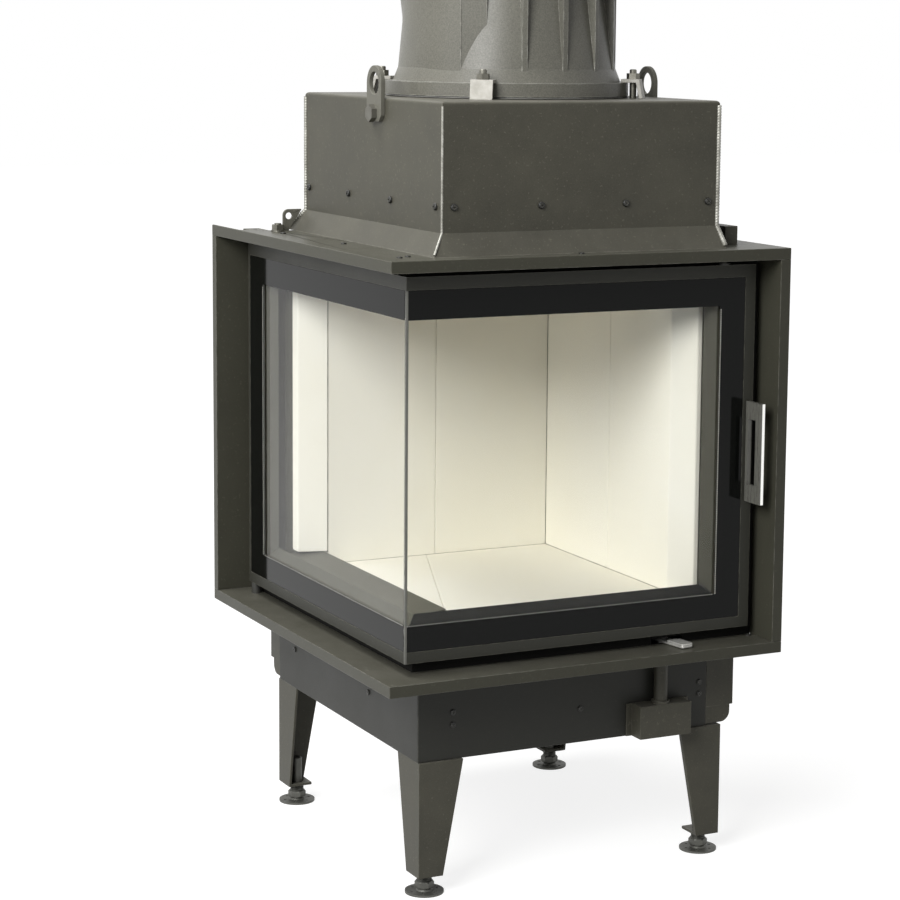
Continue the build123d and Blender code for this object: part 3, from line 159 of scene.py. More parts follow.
def make_sprayed_skin():
    """Heat-proof paint or powder: cloudy tone, fine orange peel, overspray and uneven sheen."""
    cloud_share, drift_share, overspray_gain = 0.7, 0.3, 7.0
    cloud_sheen, grain_sheen = 0.05, 0.04
    tree, given, out = group(
        "sprayed_skin",
        [("Colour", "colour"), ("Cloud", "value"), ("Grain", "value"), ("Sheen", "value")],
        [("Colour", "colour"), ("Roughness", "value"), ("Height", "value")],
    )
    coords = place_coords(tree)
    cloud = noise(tree, coords, scale=7.0, detail=5.0, roughness=0.6)
    drift = noise(tree, coords, scale=42.0)
    grain = noise(tree, coords, scale=1100.0, detail=2.0)
    spatter = noise(tree, coords, scale=340.0, detail=2.0)
    cloudy = add(tree, times(tree, cloud, cloud_share), times(tree, drift, drift_share))
    swing = rescale(tree, cloudy, 0.3, 0.7, -1.0, 1.0)
    speck = rescale(tree, grain, 0.35, 0.65, -1.0, 1.0)
    overspray = rescale(tree, spatter, 0.63, 0.72)
    shade = add(tree, times(tree, swing, given["Cloud"]), 1.0)
    shade = add(tree, shade, times(tree, speck, given["Grain"]))
    spray_gain = times(tree, given["Grain"], overspray_gain)
    shade = add(tree, shade, times(tree, overspray, spray_gain))
    rough = add(tree, given["Sheen"], times(tree, swing, cloud_sheen))
    fill(tree, out, {
        "Colour": shaded(tree, given["Colour"], shade),
        "Roughness": add(tree, rough, times(tree, speck, grain_sheen)),
        "Height": grain,
    })
    return tree


def make_edge_wear_and_highlight():
    """Mask of the outer edges, where paint thins and metal is rubbed, and where a painted highlight
    runs along the edge.
    """
    tree, given, out = group("edge_wear_and_highlight", [("Width", "value")], [("Mask", "value")])
    rounded = place(tree, "ShaderNodeBevel", {"Radius": given["Width"]}, samples=6).outputs[0]
    true_normal = place(tree, "ShaderNodeNewGeometry").outputs["Normal"]
    normals = {0: rounded, 1: true_normal}
    turn = place(tree, "ShaderNodeVectorMath", normals, operation="DOT_PRODUCT").outputs["Value"]
    bend = rescale(tree, turn, 1.0, 0.86)
    patch = rescale(tree, noise(tree, place_coords(tree), scale=90.0, detail=4.0), 0.35, 0.6)
    fill(tree, out, {"Mask": times(tree, bend, patch)})
    return tree


def make_settled_dust_and_top_light():
    """Mask of the pale dust that lies on upward faces, which is also painted top light."""
    tree, given, out = group("settled_dust_and_top_light", [("Amount", "value")], [("Mask", "value")])
    normal = place(tree, "ShaderNodeNewGeometry").outputs["Normal"]
    upward = place(tree, "ShaderNodeSeparateXYZ", {0: normal}).outputs["Z"]
    lying = rescale(tree, upward, 0.4, 0.95)
    drifts = noise(tree, place_coords(tree), scale=26.0, detail=6.0, roughness=0.65)
    patch = rescale(tree, drifts, 0.3, 0.75, 0.35, 1.0)
    fill(tree, out, {"Mask": times(tree, times(tree, lying, patch), given["Amount"])})
    return tree


def make_brushed_lines():
    """Fine lines left by a belt, running along one direction of the part."""
    tree, given, out = group("brushed_lines", [("Stretch", "vector")], [("Line", "value")])
    scales = {0: place_coords(tree), 1: given["Stretch"]}
    stretched = place(tree, "ShaderNodeVectorMath", scales, operation="MULTIPLY").outputs[0]
    lines = noise(tree, stretched, scale=1.0, detail=4.0, roughness=0.7)
    fill(tree, out, {"Line": rescale(tree, lines, 0.3, 0.7)})
    return tree


def make_sand_cast():
    """Sandy skin of a casting: grains, shallow pits and slow waves."""
    wave_shade, sand_height, lump_height, pit_depth = 0.05, 0.5, 0.9, 0.25
    tree, given, out = group(
        "sand_cast",
        [("Colour", "colour"), ("Contrast", "value")],
        [("Colour", "colour"), ("Roughness", "value"), ("Height", "value")],
    )
    coords = place_coords(tree)
    sand = noise(tree, coords, scale=620.0, detail=4.0, roughness=0.7)
    lumps = noise(tree, coords, scale=160.0)
    wave = noise(tree, coords, scale=14.0)
    pits = rescale(tree, cells(tree, coords, scale=420.0)["Distance"], 0.25, 0.0)
    speck = rescale(tree, sand, 0.32, 0.68, -1.0, 1.0)
    swing = rescale(tree, wave, 0.35, 0.65, -1.0, 1.0)
    shade = add(tree, times(tree, speck, given["Contrast"]), 1.0)
    shade = add(tree, shade, times(tree, swing, wave_shade))
    height = add(tree, times(tree, sand, sand_height), times(tree, lumps, lump_height))
    fill(tree, out, {
        "Colour": shaded(tree, given["Colour"], shade),
        "Roughness": rescale(tree, sand, 0.2, 0.8, 0.45, 0.32),
        "Height": less(tree, height, times(tree, pits, pit_depth)),
    })
    return tree


sprayed_skin = make_sprayed_skin()
edge_wear_and_highlight = make_edge_wear_and_highlight()
settled_dust_and_top_light = make_settled_dust_and_top_light()
brushed_lines = make_brushed_lines()
sand_cast = make_sand_cast()


# Tones of paint and iron

# Pale dust on upward faces, also painted top light on them
DUST_AND_TOP_LIGHT = (0.30, 0.29, 0.25, 1.0)
SURROUND_TONE = (0.048, 0.047, 0.035, 1.0)
BODY_TONE = (0.059, 0.0565, 0.043, 1.0)
LUG_TONE = (0.112, 0.109, 0.090, 1.0)
# Painted shade: the base panels are darker than the body paint because they sit under the surround
BASE_SHADE_TONE = (0.0205, 0.0207, 0.0170, 1.0)
BAR_TONE = (0.045, 0.0435, 0.031, 1.0)
DOOR_TONE = (0.029, 0.029, 0.023, 1.0)
# Black of the screws and blacked places, and the painted shade of the face panel
BLACK_AND_SHADE_TONE = (0.010, 0.010, 0.009, 1.0)
# Lighter tone of rubbed edges, which is also a painted highlight along them
RUBBED_AND_HIGHLIGHT_TONE = (0.17, 0.165, 0.135, 1.0)
# Painted highlight along the edges of the surround
EDGE_HIGHLIGHT_TONE = (0.30, 0.295, 0.26, 1.0)
IRON_TONE = (0.120, 0.117, 0.097, 1.0)
# Painted highlight along the edges and fin crests of the casting
IRON_EDGE_HIGHLIGHT = (0.34, 0.335, 0.30, 1.0)


# Finishes

def new_finish(name):
    """Empty material, as (material, tree, shader, surface output)."""
    finish = bpy.data.materials.new(name)
    finish.use_nodes = True
    tree = finish.node_tree
    tree.nodes.clear()
    shader = tree.nodes.new("ShaderNodeBsdfPrincipled")
    surface = place(tree, "ShaderNodeOutputMaterial", {"Surface": shader.outputs[0]})
    return finish, tree, shader, surface


def roughen(tree, shader, height, depth, strength):
    """Fine relief on a shader from a height between 0 and 1."""
    relief = {"Height": height, "Distance": depth, "Strength": strength}
    fill(tree, shader, {"Normal": place(tree, "ShaderNodeBump", relief).outputs["Normal"]})


def painted_sheet(
    name, colour, rubbed_and_highlit, top_light_and_dust, cloud, grain, sheen, wear_and_highlight, specular, blacked=None,
):
    """Sprayed steel with rubbed edges that also carry a painted highlight, settled dust on upward
    faces that is also painted top light and, by a mask, a place that is blacked.
    """
    edge_width, edge_gloss = 1.2 * MM, 0.15
    finish, tree, shader, _ = new_finish(name)
    skin = use(tree, sprayed_skin, Colour=colour, Cloud=cloud, Grain=grain, Sheen=sheen)
    # Rubbed edges, lightened also as a painted highlight along them
    edge = times(tree, use(tree, edge_wear_and_highlight, Width=edge_width)["Mask"], wear_and_highlight)
    # Dust on upward faces, also painted top light
    top_lit_and_dusty = use(tree, settled_dust_and_top_light, Amount=top_light_and_dust)["Mask"]
    shown = mix_colours(tree, edge, skin["Colour"], rubbed_and_highlit)
    shown = mix_colours(tree, top_lit_and_dusty, shown, DUST_AND_TOP_LIGHT)
    if blacked:
        shown = mix_colours(tree, blacked(tree), shown, BLACK_AND_SHADE_TONE)
    fill(tree, shader, {
        "Base Color": shown,
        "Roughness": less(tree, skin["Roughness"], times(tree, edge, edge_gloss)),
        "Specular IOR Level": specular,
    })
    roughen(tree, shader, skin["Height"], depth=0.12 * MM, strength=0.5)
    return finish


def make_surround_paint():
    """Matt paint of the folded surround, with a painted highlight along its edges."""
    return painted_sheet(
        "surround_paint", SURROUND_TONE, EDGE_HIGHLIGHT_TONE,
        top_light_and_dust=0.16, cloud=0.07, grain=0.05, sheen=0.38, wear_and_highlight=0.7, specular=0.15,
    )


def make_body_paint():
    """Cloudy paint of the heat box and casing."""
    return painted_sheet(
        "body_paint", BODY_TONE, RUBBED_AND_HIGHLIGHT_TONE,
        top_light_and_dust=0.34, cloud=0.26, grain=0.09, sheen=0.48, wear_and_highlight=0.7, specular=0.24,
    )


def make_lug_paint():
    """Lighter paint of the lifting lugs and the ear."""
    return painted_sheet(
        "lug_paint", LUG_TONE, RUBBED_AND_HIGHLIGHT_TONE,
        top_light_and_dust=0.20, cloud=0.10, grain=0.06, sheen=0.48, wear_and_highlight=0.7, specular=0.24,
    )


def make_base_painted_shade():
    """Body paint darkened on the base panels, as painted shade under the surround's lip."""
    return painted_sheet(
        "base_painted_shade", BASE_SHADE_TONE, RUBBED_AND_HIGHLIGHT_TONE,
        top_light_and_dust=0.18, cloud=0.08, grain=0.05, sheen=0.46, wear_and_highlight=0.6, specular=0.22,
    )


def bar_sheet(name, blacked=None):
    """Sheet in the satin paint of the bars, with a mask for what is blacked."""
    return painted_sheet(
        name, BAR_TONE, RUBBED_AND_HIGHLIGHT_TONE,
        top_light_and_dust=0.10, cloud=0.06, grain=0.05, sheen=0.50, wear_and_highlight=0.5, specular=0.25, blacked=blacked,
    )


def make_bar_paint():
    """Satin paint of the bars behind the door."""
    return bar_sheet("bar_paint")


bar_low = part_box("seal_bar")[0]
bar_mitre = print_right + print_bottom
bar_corner = bar_low.x - bar_low.y
bar_top = 342.0 * MM
black_fade = 0.4 * MM


def lower_front_bar(tree):
    """Mask of the lower front bar of the seal bar, between its two mitres."""
    spot = place_xyz(tree)
    mitre = rescale(tree, add(tree, spot["X"], spot["Z"]), bar_mitre + black_fade, bar_mitre)
    low = rescale(tree, spot["Z"], bar_top + black_fade, bar_top)
    front = rescale(tree, less(tree, spot["X"], spot["Y"]), bar_corner, bar_corner + black_fade)
    return times(tree, times(tree, mitre, low), front)


def make_seal_bar_paint():
    """Bar paint, with the lower front bar blackened."""
    return bar_sheet("seal_bar_paint", lower_front_bar)


def make_door_paint():
    """Dark paint of the door."""
    return painted_sheet(
        "door_paint", DOOR_TONE, RUBBED_AND_HIGHLIGHT_TONE,
        top_light_and_dust=0.08, cloud=0.04, grain=0.04, sheen=0.46, wear_and_highlight=0.7, specular=0.22,
    )


def make_panel_painted_shade():
    """Painted shade: the face panel, deep in shade under the door, made a dull black."""
    return painted_sheet(
        "panel_painted_shade", BLACK_AND_SHADE_TONE, DOOR_TONE,
        top_light_and_dust=0.02, cloud=0.05, grain=0.05, sheen=0.7, wear_and_highlight=0.3, specular=0.1,
    )


def make_flue_paint():
    """Even paint of the flue spigot."""
    return painted_sheet(
        "flue_steel", BODY_TONE, RUBBED_AND_HIGHLIGHT_TONE,
        top_light_and_dust=0.15, cloud=0.08, grain=0.06, sheen=0.52, wear_and_highlight=0.5, specular=0.30,
    )


def make_black_screws():
    """Blacked screws, rubbed on their edges, with a painted highlight along them."""
    return painted_sheet(
        "black_screws", BLACK_AND_SHADE_TONE, RUBBED_AND_HIGHLIGHT_TONE,
        top_light_and_dust=0.06, cloud=0.05, grain=0.05, sheen=0.40, wear_and_highlight=0.8, specular=0.35,
    )


def make_cast_iron():
    """Primed grey casting, with a painted highlight along its edges."""
    contrast, edge_width, edge_highlight_share = 0.26, 1.8 * MM, 0.95
    finish, tree, shader, _ = new_finish("cast_iron")
    skin = use(tree, sand_cast, Colour=IRON_TONE, Contrast=contrast)
    edge = times(tree, use(tree, edge_wear_and_highlight, Width=edge_width)["Mask"], edge_highlight_share)
    fill(tree, shader, {
        "Base Color": mix_colours(tree, edge, skin["Colour"], IRON_EDGE_HIGHLIGHT),
        "Roughness": skin["Roughness"],
        "Specular IOR Level": 0.40,
    })
    roughen(tree, shader, skin["Height"], depth=0.10 * MM, strength=0.6)
    return finish


def bare_metal(name, bright, dull, stretch, sheen, stain, metallic=1.0):
    """Bare or plated metal with belt lines and a duller bloom."""
    line_shade, line_rough, bloom_rough = 0.25, 0.12, 0.1
    finish, tree, shader, _ = new_finish(name)
    line = use(tree, brushed_lines, Stretch=stretch)["Line"]
    cloud = noise(tree, place_coords(tree), scale=60.0, detail=5.0, roughness=0.6)
    bloom = rescale(tree, cloud, 0.35, 0.7)
    shade = mix_colours(tree, times(tree, bloom, stain), bright, dull)
    rough = add(tree, sheen, times(tree, line, line_rough))
    fill(tree, shader, {
        "Base Color": mix_colours(tree, times(tree, line, line_shade), shade, dull),
        "Roughness": add(tree, rough, times(tree, bloom, bloom_rough)),
        "Metallic": metallic,
    })
    roughen(tree, shader, line, depth=0.02 * MM, strength=0.4)
    return finish


def make_stainless():
    """Ground stainless steel, lined upright."""
    return bare_metal(
        "stainless", bright=(0.62, 0.615, 0.59, 1.0), dull=(0.40, 0.39, 0.365, 1.0),
        stretch=(2600.0, 2600.0, 60.0), sheen=0.22, stain=0.4,
    )


def make_clamp_steel():
    """Pale clamps that hold the dome."""
    return bare_metal(
        "clamp_steel", bright=(0.36, 0.35, 0.32, 1.0), dull=(0.22, 0.21, 0.18, 1.0),
        stretch=(400.0, 400.0, 2200.0), sheen=0.44, stain=0.6, metallic=0.3,
    )


def make_zinc_steel():
    """Dull zinc plate on nuts and bolts."""
    return bare_metal(
        "zinc_steel", bright=(0.20, 0.195, 0.17, 1.0), dull=(0.12, 0.115, 0.095, 1.0),
        stretch=(900.0, 900.0, 900.0), sheen=0.38, stain=0.7,
    )


def make_pin_steel():
    """Oiled black steel of pins and sleeves."""
    return bare_metal(
        "pin_steel", bright=(0.045, 0.045, 0.04, 1.0), dull=(0.025, 0.025, 0.022, 1.0),
        stretch=(900.0, 900.0, 300.0), sheen=0.4, stain=0.6, metallic=0.3,
    )


def make_corner_steel():
    """Dull strip on the glass corner."""
    return bare_metal(
        "corner_steel", bright=(0.13, 0.13, 0.115, 1.0), dull=(0.08, 0.08, 0.07, 1.0),
        stretch=(900.0, 900.0, 60.0), sheen=0.3, stain=0.5, metallic=0.3,
    )


def make_lever_steel():
    """Pale ground lever, lined along its length."""
    return bare_metal(
        "lever_steel", bright=(0.66, 0.655, 0.62, 1.0), dull=(0.36, 0.355, 0.32, 1.0),
        stretch=(300.0, 1600.0, 300.0), sheen=0.28, stain=0.5, metallic=0.5,
    )


def make_foot_steel():
    """Dark steel of the foot screws and discs."""
    return bare_metal(
        "foot_steel", bright=(0.125, 0.125, 0.112, 1.0), dull=(0.075, 0.075, 0.065, 1.0),
        stretch=(900.0, 900.0, 300.0), sheen=0.42, stain=0.7, metallic=0.6,
    )


def make_weld_steel():
    """Brushed weld metal with heat stains."""
    return bare_metal(
        "weld_steel", bright=(0.42, 0.415, 0.375, 1.0), dull=(0.17, 0.165, 0.14, 1.0),
        stretch=(700.0, 700.0, 1400.0), sheen=0.42, stain=1.0, metallic=0.5,
    )


handle_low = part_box("door_handle")[0]


def make_handle_steel():
    """Ground bar with satin dark sides and a bright polished nose."""
    nose_end, nose_full = 0.6 * MM, 0.1 * MM
    plate_edge, plate_clear = 1.5 * MM, 1.7 * MM
    side, side_line = (0.085, 0.085, 0.074, 1.0), (0.130, 0.128, 0.112, 1.0)
    polished = (0.86, 0.86, 0.83, 1.0)
    finish, tree, shader, _ = new_finish("handle_steel")
    line = use(tree, brushed_lines, Stretch=(600.0, 600.0, 40.0))["Line"]
    spot = place_xyz(tree)
    front = rescale(tree, spot["Y"], handle_low.y + nose_end, handle_low.y + nose_full)
    inside = rescale(tree, spot["X"], handle_low.x + plate_edge, handle_low.x + plate_clear)
    nose = times(tree, front, inside)
    fill(tree, shader, {
        "Base Color": mix_colours(tree, nose, mix_colours(tree, line, side, side_line), polished),
        "Metallic": nose,
        "Roughness": rescale(tree, line, 0.0, 1.0, 0.24, 0.34),
        "Specular IOR Level": 0.6,
    })
    roughen(tree, shader, line, depth=0.02 * MM, strength=0.4)
    return finish


def make_joint_painted_shade():
    """Painted shade in the joints of the firebox: dark strips with a crumbly grain."""
    pale, dark = (0.34, 0.31, 0.25, 1.0), (0.16, 0.145, 0.115, 1.0)
    darkest = (0.05, 0.045, 0.035, 1.0)
    finish, tree, shader, _ = new_finish("joint_painted_shade")
    coords = place_coords(tree)
    crumb = noise(tree, coords, scale=700.0, detail=4.0, roughness=0.7)
    break_up = rescale(tree, noise(tree, coords, scale=60.0), 0.35, 0.6)
    fill(tree, shader, {
        "Base Color": mix_colours(tree, break_up, pale, mix_colours(tree, crumb, darkest, dark)),
        "Roughness": rescale(tree, crumb, 0.3, 0.7, 0.8, 0.95),
    })
    roughen(tree, shader, crumb, depth=0.3 * MM, strength=0.8)
    return finish


def make_fireclay():
    """Smooth cream fireclay with faint clouds and small pores."""
    cream, pale_cream = (0.835, 0.805, 0.705, 1.0), (0.87, 0.85, 0.775, 1.0)
    pore_tone, pore_share = (0.62, 0.56, 0.44, 1.0), 0.3
    finish, tree, shader, _ = new_finish("fireclay")
    coords = place_coords(tree)
    cloud = rescale(tree, noise(tree, coords, scale=5.0, detail=4.0), 0.3, 0.7)
    pores = rescale(tree, cells(tree, coords, scale=260.0)["Distance"], 0.14, 0.05)
    pore = times(tree, pores, rescale(tree, noise(tree, coords, scale=70.0), 0.5, 0.62))
    body = mix_colours(tree, cloud, cream, pale_cream)
    fill(tree, shader, {
        "Base Color": mix_colours(tree, times(tree, pore, pore_share), body, pore_tone),
        "Roughness": rescale(tree, noise(tree, coords, scale=300.0), 0.3, 0.7, 0.72, 0.88),
        "Specular IOR Level": 0.2,
    })
    height = less(tree, noise(tree, coords, scale=900.0), pore)
    roughen(tree, shader, height, depth=0.15 * MM, strength=0.5)
    return finish


def make_vermiculite():
    """Pressed board of golden flakes."""
    brown, golden = (0.50, 0.40, 0.24, 1.0), (0.74, 0.64, 0.44, 1.0)
    finish, tree, shader, _ = new_finish("vermiculite")
    flake = cells(tree, place_coords(tree), scale=420.0)
    tone = place(tree, "ShaderNodeSeparateColor", {0: flake["Color"]}).outputs[0]
    fill(tree, shader, {
        "Base Color": mix_colours(tree, tone, brown, golden),
        "Roughness": rescale(tree, tone, 0.0, 1.0, 0.5, 0.8),
    })
    roughen(tree, shader, flake["Distance"], depth=0.6 * MM, strength=0.8)
    return finish


def make_rope():
    """Woven glass-fibre rope, sooty in places."""
    dark, pale = (0.16, 0.158, 0.15, 1.0), (0.36, 0.355, 0.335, 1.0)
    soot_tone, soot_share = (0.06, 0.06, 0.057, 1.0), 0.35
    finish, tree, shader, _ = new_finish("rope")
    coords = place_coords(tree)
    fibre = noise(tree, coords, scale=1500.0, roughness=0.7)
    soot = rescale(tree, noise(tree, coords, scale=40.0, detail=4.0), 0.35, 0.7)
    soot = times(tree, soot, soot_share)
    fill(tree, shader, {
        "Base Color": mix_colours(tree, soot, mix_colours(tree, fibre, dark, pale), soot_tone),
        "Roughness": rescale(tree, fibre, 0.2, 0.8, 0.8, 0.95),
        "Sheen Weight": 0.25,
    })
    roughen(tree, shader, fibre, depth=0.3 * MM, strength=0.8)
    return finish


def make_clear_glass():
    """Clear ceramic glass that lets the light into the firebox."""
    filmed, clean = (0.985, 0.99, 0.98, 1.0), (1.0, 1.0, 1.0, 1.0)
    passed = (0.97, 0.975, 0.965, 1.0)
    finish, tree, shader, surface = new_finish("clear_glass")
    film = noise(tree, place_coords(tree), scale=12.0, detail=4.0)
    fill(tree, shader, {
        "Base Color": mix_colours(tree, film, filmed, clean),
        "Roughness": rescale(tree, film, 0.3, 0.7, 0.0, 0.02),
        "Transmission Weight": 1.0,
        "IOR": 1.15,
    })
    open_way = place(tree, "ShaderNodeBsdfTransparent", {"Color": passed})
    rays = tree.nodes.new("ShaderNodeLightPath").outputs
    unseen = reckon(tree, "MAXIMUM", rays["Is Shadow Ray"], rays["Is Diffuse Ray"])
    ways = {0: unseen, 1: shader.outputs[0], 2: open_way.outputs[0]}
    fill(tree, surface, {"Surface": place(tree, "ShaderNodeMixShader", ways).outputs[0]})
    return finish


def make_black_print():
    """Black enamel fired on to the glass, as glossy as the glass."""
    black, paler_black = (0.0030, 0.0034, 0.0030, 1.0), (0.0050, 0.0056, 0.0050, 1.0)
    finish, tree, shader, _ = new_finish("black_print")
    grain = noise(tree, place_coords(tree), scale=400.0)
    fill(tree, shader, {
        "Base Color": mix_colours(tree, grain, black, paler_black),
        "Roughness": rescale(tree, grain, 0.3, 0.7, 0.05, 0.09),
        "Specular IOR Level": 0.12,
    })
    return finish


def make_print_dots_painted_lit():
    """Clear dots left in the printed line, with painted light: a pale tone that stands for the lit
    bar and firebox seen through them.
    """
    dull, painted_lit_tone = (0.62, 0.61, 0.54, 1.0), (0.74, 0.73, 0.66, 1.0)
    finish, tree, shader, _ = new_finish("print_dots_painted_lit")
    grain = noise(tree, place_coords(tree), scale=300.0, detail=2.0)
    fill(tree, shader, {
        "Base Color": mix_colours(tree, grain, dull, painted_lit_tone),
        "Roughness": rescale(tree, grain, 0.3, 0.7, 0.4, 0.6),
    })
    return finish


finishes = {
    "surround_paint": make_surround_paint(),
    "body_paint": make_body_paint(),
    "bar_paint": make_bar_paint(),
    "door_paint": make_door_paint(),
    "cast_iron": make_cast_iron(),
    "clamp_steel": make_clamp_steel(),
    "zinc_steel": make_zinc_steel(),
    "flue_steel": make_flue_paint(),
    "weld_steel": make_weld_steel(),
    "stainless": make_stainless(),
    "black_screws": make_black_screws(),
    "foot_steel": make_foot_steel(),
    "fireclay": make_fireclay(),
    "vermiculite": make_vermiculite(),
    "clear_glass": make_clear_glass(),
    "rope": make_rope(),
}
black_print = make_black_print()
print_dots_painted_lit = make_print_dots_painted_lit()
lever_steel = make_lever_steel()
pin_steel = make_pin_steel()
corner_steel = make_corner_steel()
joint_painted_shade = make_joint_painted_shade()
base_painted_shade = make_base_painted_shade()
lug_paint = make_lug_paint()


# Carried-over pieces: the finish of each slot, and the pieces that differ from their slot

OWN_FINISHES = {
    # The face panel is made dull black as painted shade
    "face_panel": make_panel_painted_shade(),
    "seal_bar": make_seal_bar_paint(),
    "door_handle": make_handle_steel(),
    "lifting_lugs": lug_paint,
    "rear_ear": lug_paint,
    # Painted shade on the base panels
    "base_front_panel": base_painted_shade,
    "base_side_panel": base_painted_shade,
    "hinge_pins": pin_steel,
    "catch_ball": finishes["foot_steel"],
    "catch_strike": finishes["foot_steel"],
    "catch_sleeve": pin_steel,
    "air_lever_nut": pin_steel,
}


def dress_nodes():
    """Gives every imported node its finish."""
    for subpart in frame["record"]["subparts"]:
        node = subpart["node"]
        for held in frame["nodes"][node].material_slots:
            held.link = "OBJECT"
            held.material = OWN_FINISHES.get(node, finishes[subpart["material_slot"]])


dress_nodes()


# Edges rolled as paint and grinding leave them

edge_angle = radians(40)
seam_reach = 0.001 * MM
EDGE_ROUNDS = [
    (0.8 * MM, ["surround_top", "surround_bottom", "surround_left", "surround_right"]),
    (0.8 * MM, ["door_frame", "legs"]),
    (0.5 * MM, ["base_front_panel", "base_side_panel", "air_box", "window_air_duct", "seal_bar"]),
    (0.6 * MM, ["lifting_lugs", "rear_ear", "hinge_bracket", "dome_clamps", "door_handle"]),
    (1.2 * MM, ["lining_back", "lining_corner", "hearth_tiles"]),
]


def soften(piece, width, segments=2):
    """Rolls the edges of a piece."""
    roll = piece.modifiers.new("roll", "BEVEL")
    roll.width = width
    roll.segments = segments
    roll.limit_method = "ANGLE"
    roll.angle_limit = edge_angle


def soften_edges():
    """Rolls the edges of packed sheet, castings and linings."""
    for width, names in EDGE_ROUNDS:
        for name in names:
            piece = frame["nodes"][name]
            piece.modifiers.new("join", "WELD").merge_threshold = seam_reach
            soften(piece, width)
            piece.modifiers.new("level", "WEIGHTED_NORMAL")


soften_edges()


# Meshes of the scene's own pieces

def piece_from(name, verts, faces, finish, body, smooth=True):
    """Object from points and faces, with its finish, body and slot."""
    mesh = bpy.data.meshes.new(name)
    mesh.from_pydata([tuple(v) for v in verts], [], faces)
    mesh.validate()
    build = bmesh.new()
    build.from_mesh(mesh)
    bmesh.ops.recalc_face_normals(build, faces=build.faces)
    for face in build.faces:
        face.smooth = smooth
    build.to_mesh(mesh)
    build.free()
    mesh.materials.append(finish)
    made = bpy.data.objects.new(name, mesh)
    bpy.context.scene.collection.objects.link(made)
    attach(made, body)
    return made


def tube_faces(rows, around, closed, first=0):
    """Faces of a tube of rows of points, with its ends capped where it isn't closed."""
    faces = []
    for row in range(rows if closed else rows - 1):
        here, there = first + row * around, first + (row + 1) % rows * around
        for step in range(around):
            beside = (step + 1) % around
            faces.append((here + step, here + beside, there + beside, there + step))
    if not closed:
        last = first + (rows - 1) * around
        faces.append(tuple(first + step for step in range(around)))
        faces.append(tuple(last + step for step in range(around)))
    return faces


def plate_faces(count, first=0):
    """Faces of a flat plate from two rings of points, one over the other."""
    near = tuple(first + i for i in range(count))
    far = tuple(first + count + i for i in reversed(range(count)))
    rim = []
    for i in range(count):
        here, beside = first + i, first + (i + 1) % count
        rim.append((here, beside, count + beside, count + here))
    return [near, far] + rim


# Printed border of the two panes, with the dotted line along its edge

print_sheet = 0.12 * MM
print_gap = 0.02 * MM
dot_pitch = 2.55 * MM
end_dot_radius = 0.78 * MM
low_dot_radius = 0.52 * MM
dot_offset = 1.0 * MM
dot_sides = 8
dot_proud = 0.04 * MM


def flat_plates(name, outlines, depth, finish, to_space):
    """Piece of thin plates on a pane, from outlines in (along, height)."""
    verts, faces = [], []
    for outline in outlines:
        faces += plate_faces(len(outline), len(verts))
        for level in (depth, depth + print_sheet):
            verts += [to_space(along, level, height) for along, height in outline]
    return piece_from(name, verts, faces, finish, "glass_door", smooth=False)


def print_border(side, corner, end, inner_end, bottom, top, depth, to_space):
    """Printed border on one pane, open at the corner, with dots along its bottom and end."""
    border = [
        [(corner, bottom), (end, bottom), (end, print_bottom), (corner, print_bottom)],
        [(corner, print_top), (end, print_top), (end, top), (corner, top)],
        [(inner_end, print_bottom), (end, print_bottom), (end, print_top), (inner_end, print_top)],
    ]
    flat_plates("glass_print_" + side, border, depth, black_print, to_space)
    low_height = print_bottom - dot_offset
    end_place = inner_end + dot_offset
    columns = int(abs(inner_end - corner) / dot_pitch)
    rows = int((print_top - print_bottom) / dot_pitch)
    spots = [(corner + i * dot_pitch, low_height, low_dot_radius) for i in range(1, columns)]
    spots += [(end_place, print_bottom + i * dot_pitch, end_dot_radius) for i in range(rows)]
    turns = [tau * i / dot_sides for i in range(dot_sides)]
    dots = [[(a + r * cos(t), h + r * sin(t)) for t in turns] for a, h, r in spots]
    # The dots carry painted light in place of the view through them
    flat_plates("print_dots_painted_lit_" + side, dots, depth - dot_proud, print_dots_painted_lit, to_space)


front_low, front_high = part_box("door_glass_front")
side_low, side_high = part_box("door_glass_side")
print_border(
    "front",
    front_low.x, front_high.x, print_right, front_low.z, front_high.z,
    front_low.y - print_gap - print_sheet,
    lambda along, depth, height: (along, depth, height),
)
print_border(
    "side",
    side_low.y, side_high.y, print_rear, side_low.z, side_high.z,
    side_low.x - print_gap - print_sheet,
    lambda along, depth, height: (depth, along, height),
)


# Weld beads up the corners of the heat box

weld_radius = 2.8 * MM
weld_ripple = 3.2 * MM
weld_relief = 0.16
weld_slant = 0.22
weld_step = 0.4 * MM
weld_around = 12
weld_sunk = 0.35
near_bead = 0.5
bead_top = 5.0 * MM
skirt_flare = 16.0 * MM
skirt_right_flare = 2.0 * MM
skirt_height = 24.0 * MM
across_beads = Vector((1.0, 0.37, 0.0))


def weld_bead(verts, faces, route, ground):
    """Rippled bead along a route of straight runs, added to a list of points and faces."""
    rows = []
    for start, stop in zip(route, route[1:]):
        run = stop - start
        steps = ceil(run.length / weld_step)
        rows += [(start + run * i / steps, run.normalized()) for i in range(steps)]
    rows.append((route[-1], (route[-1] - route[-2]).normalized()))
    faces += tube_faces(len(rows), weld_around, False, len(verts))
    travelled = 0.0
    for number, (centre, along) in enumerate(rows):
        if number:
            travelled += (centre - rows[number - 1][0]).length
        side = along.cross(across_beads).normalized()
        other = along.cross(side).normalized()
        for step in range(weld_around):
            turn = tau * step / weld_around
            phase = (travelled / weld_ripple + weld_slant * cos(turn)) % 1.0
            crest = 4.0 * phase * (1.0 - phase)
            radius = weld_radius * ground * (1.0 - weld_relief + weld_relief * crest)
            verts.append(centre + side * radius * cos(turn) + other * radius * sin(turn))


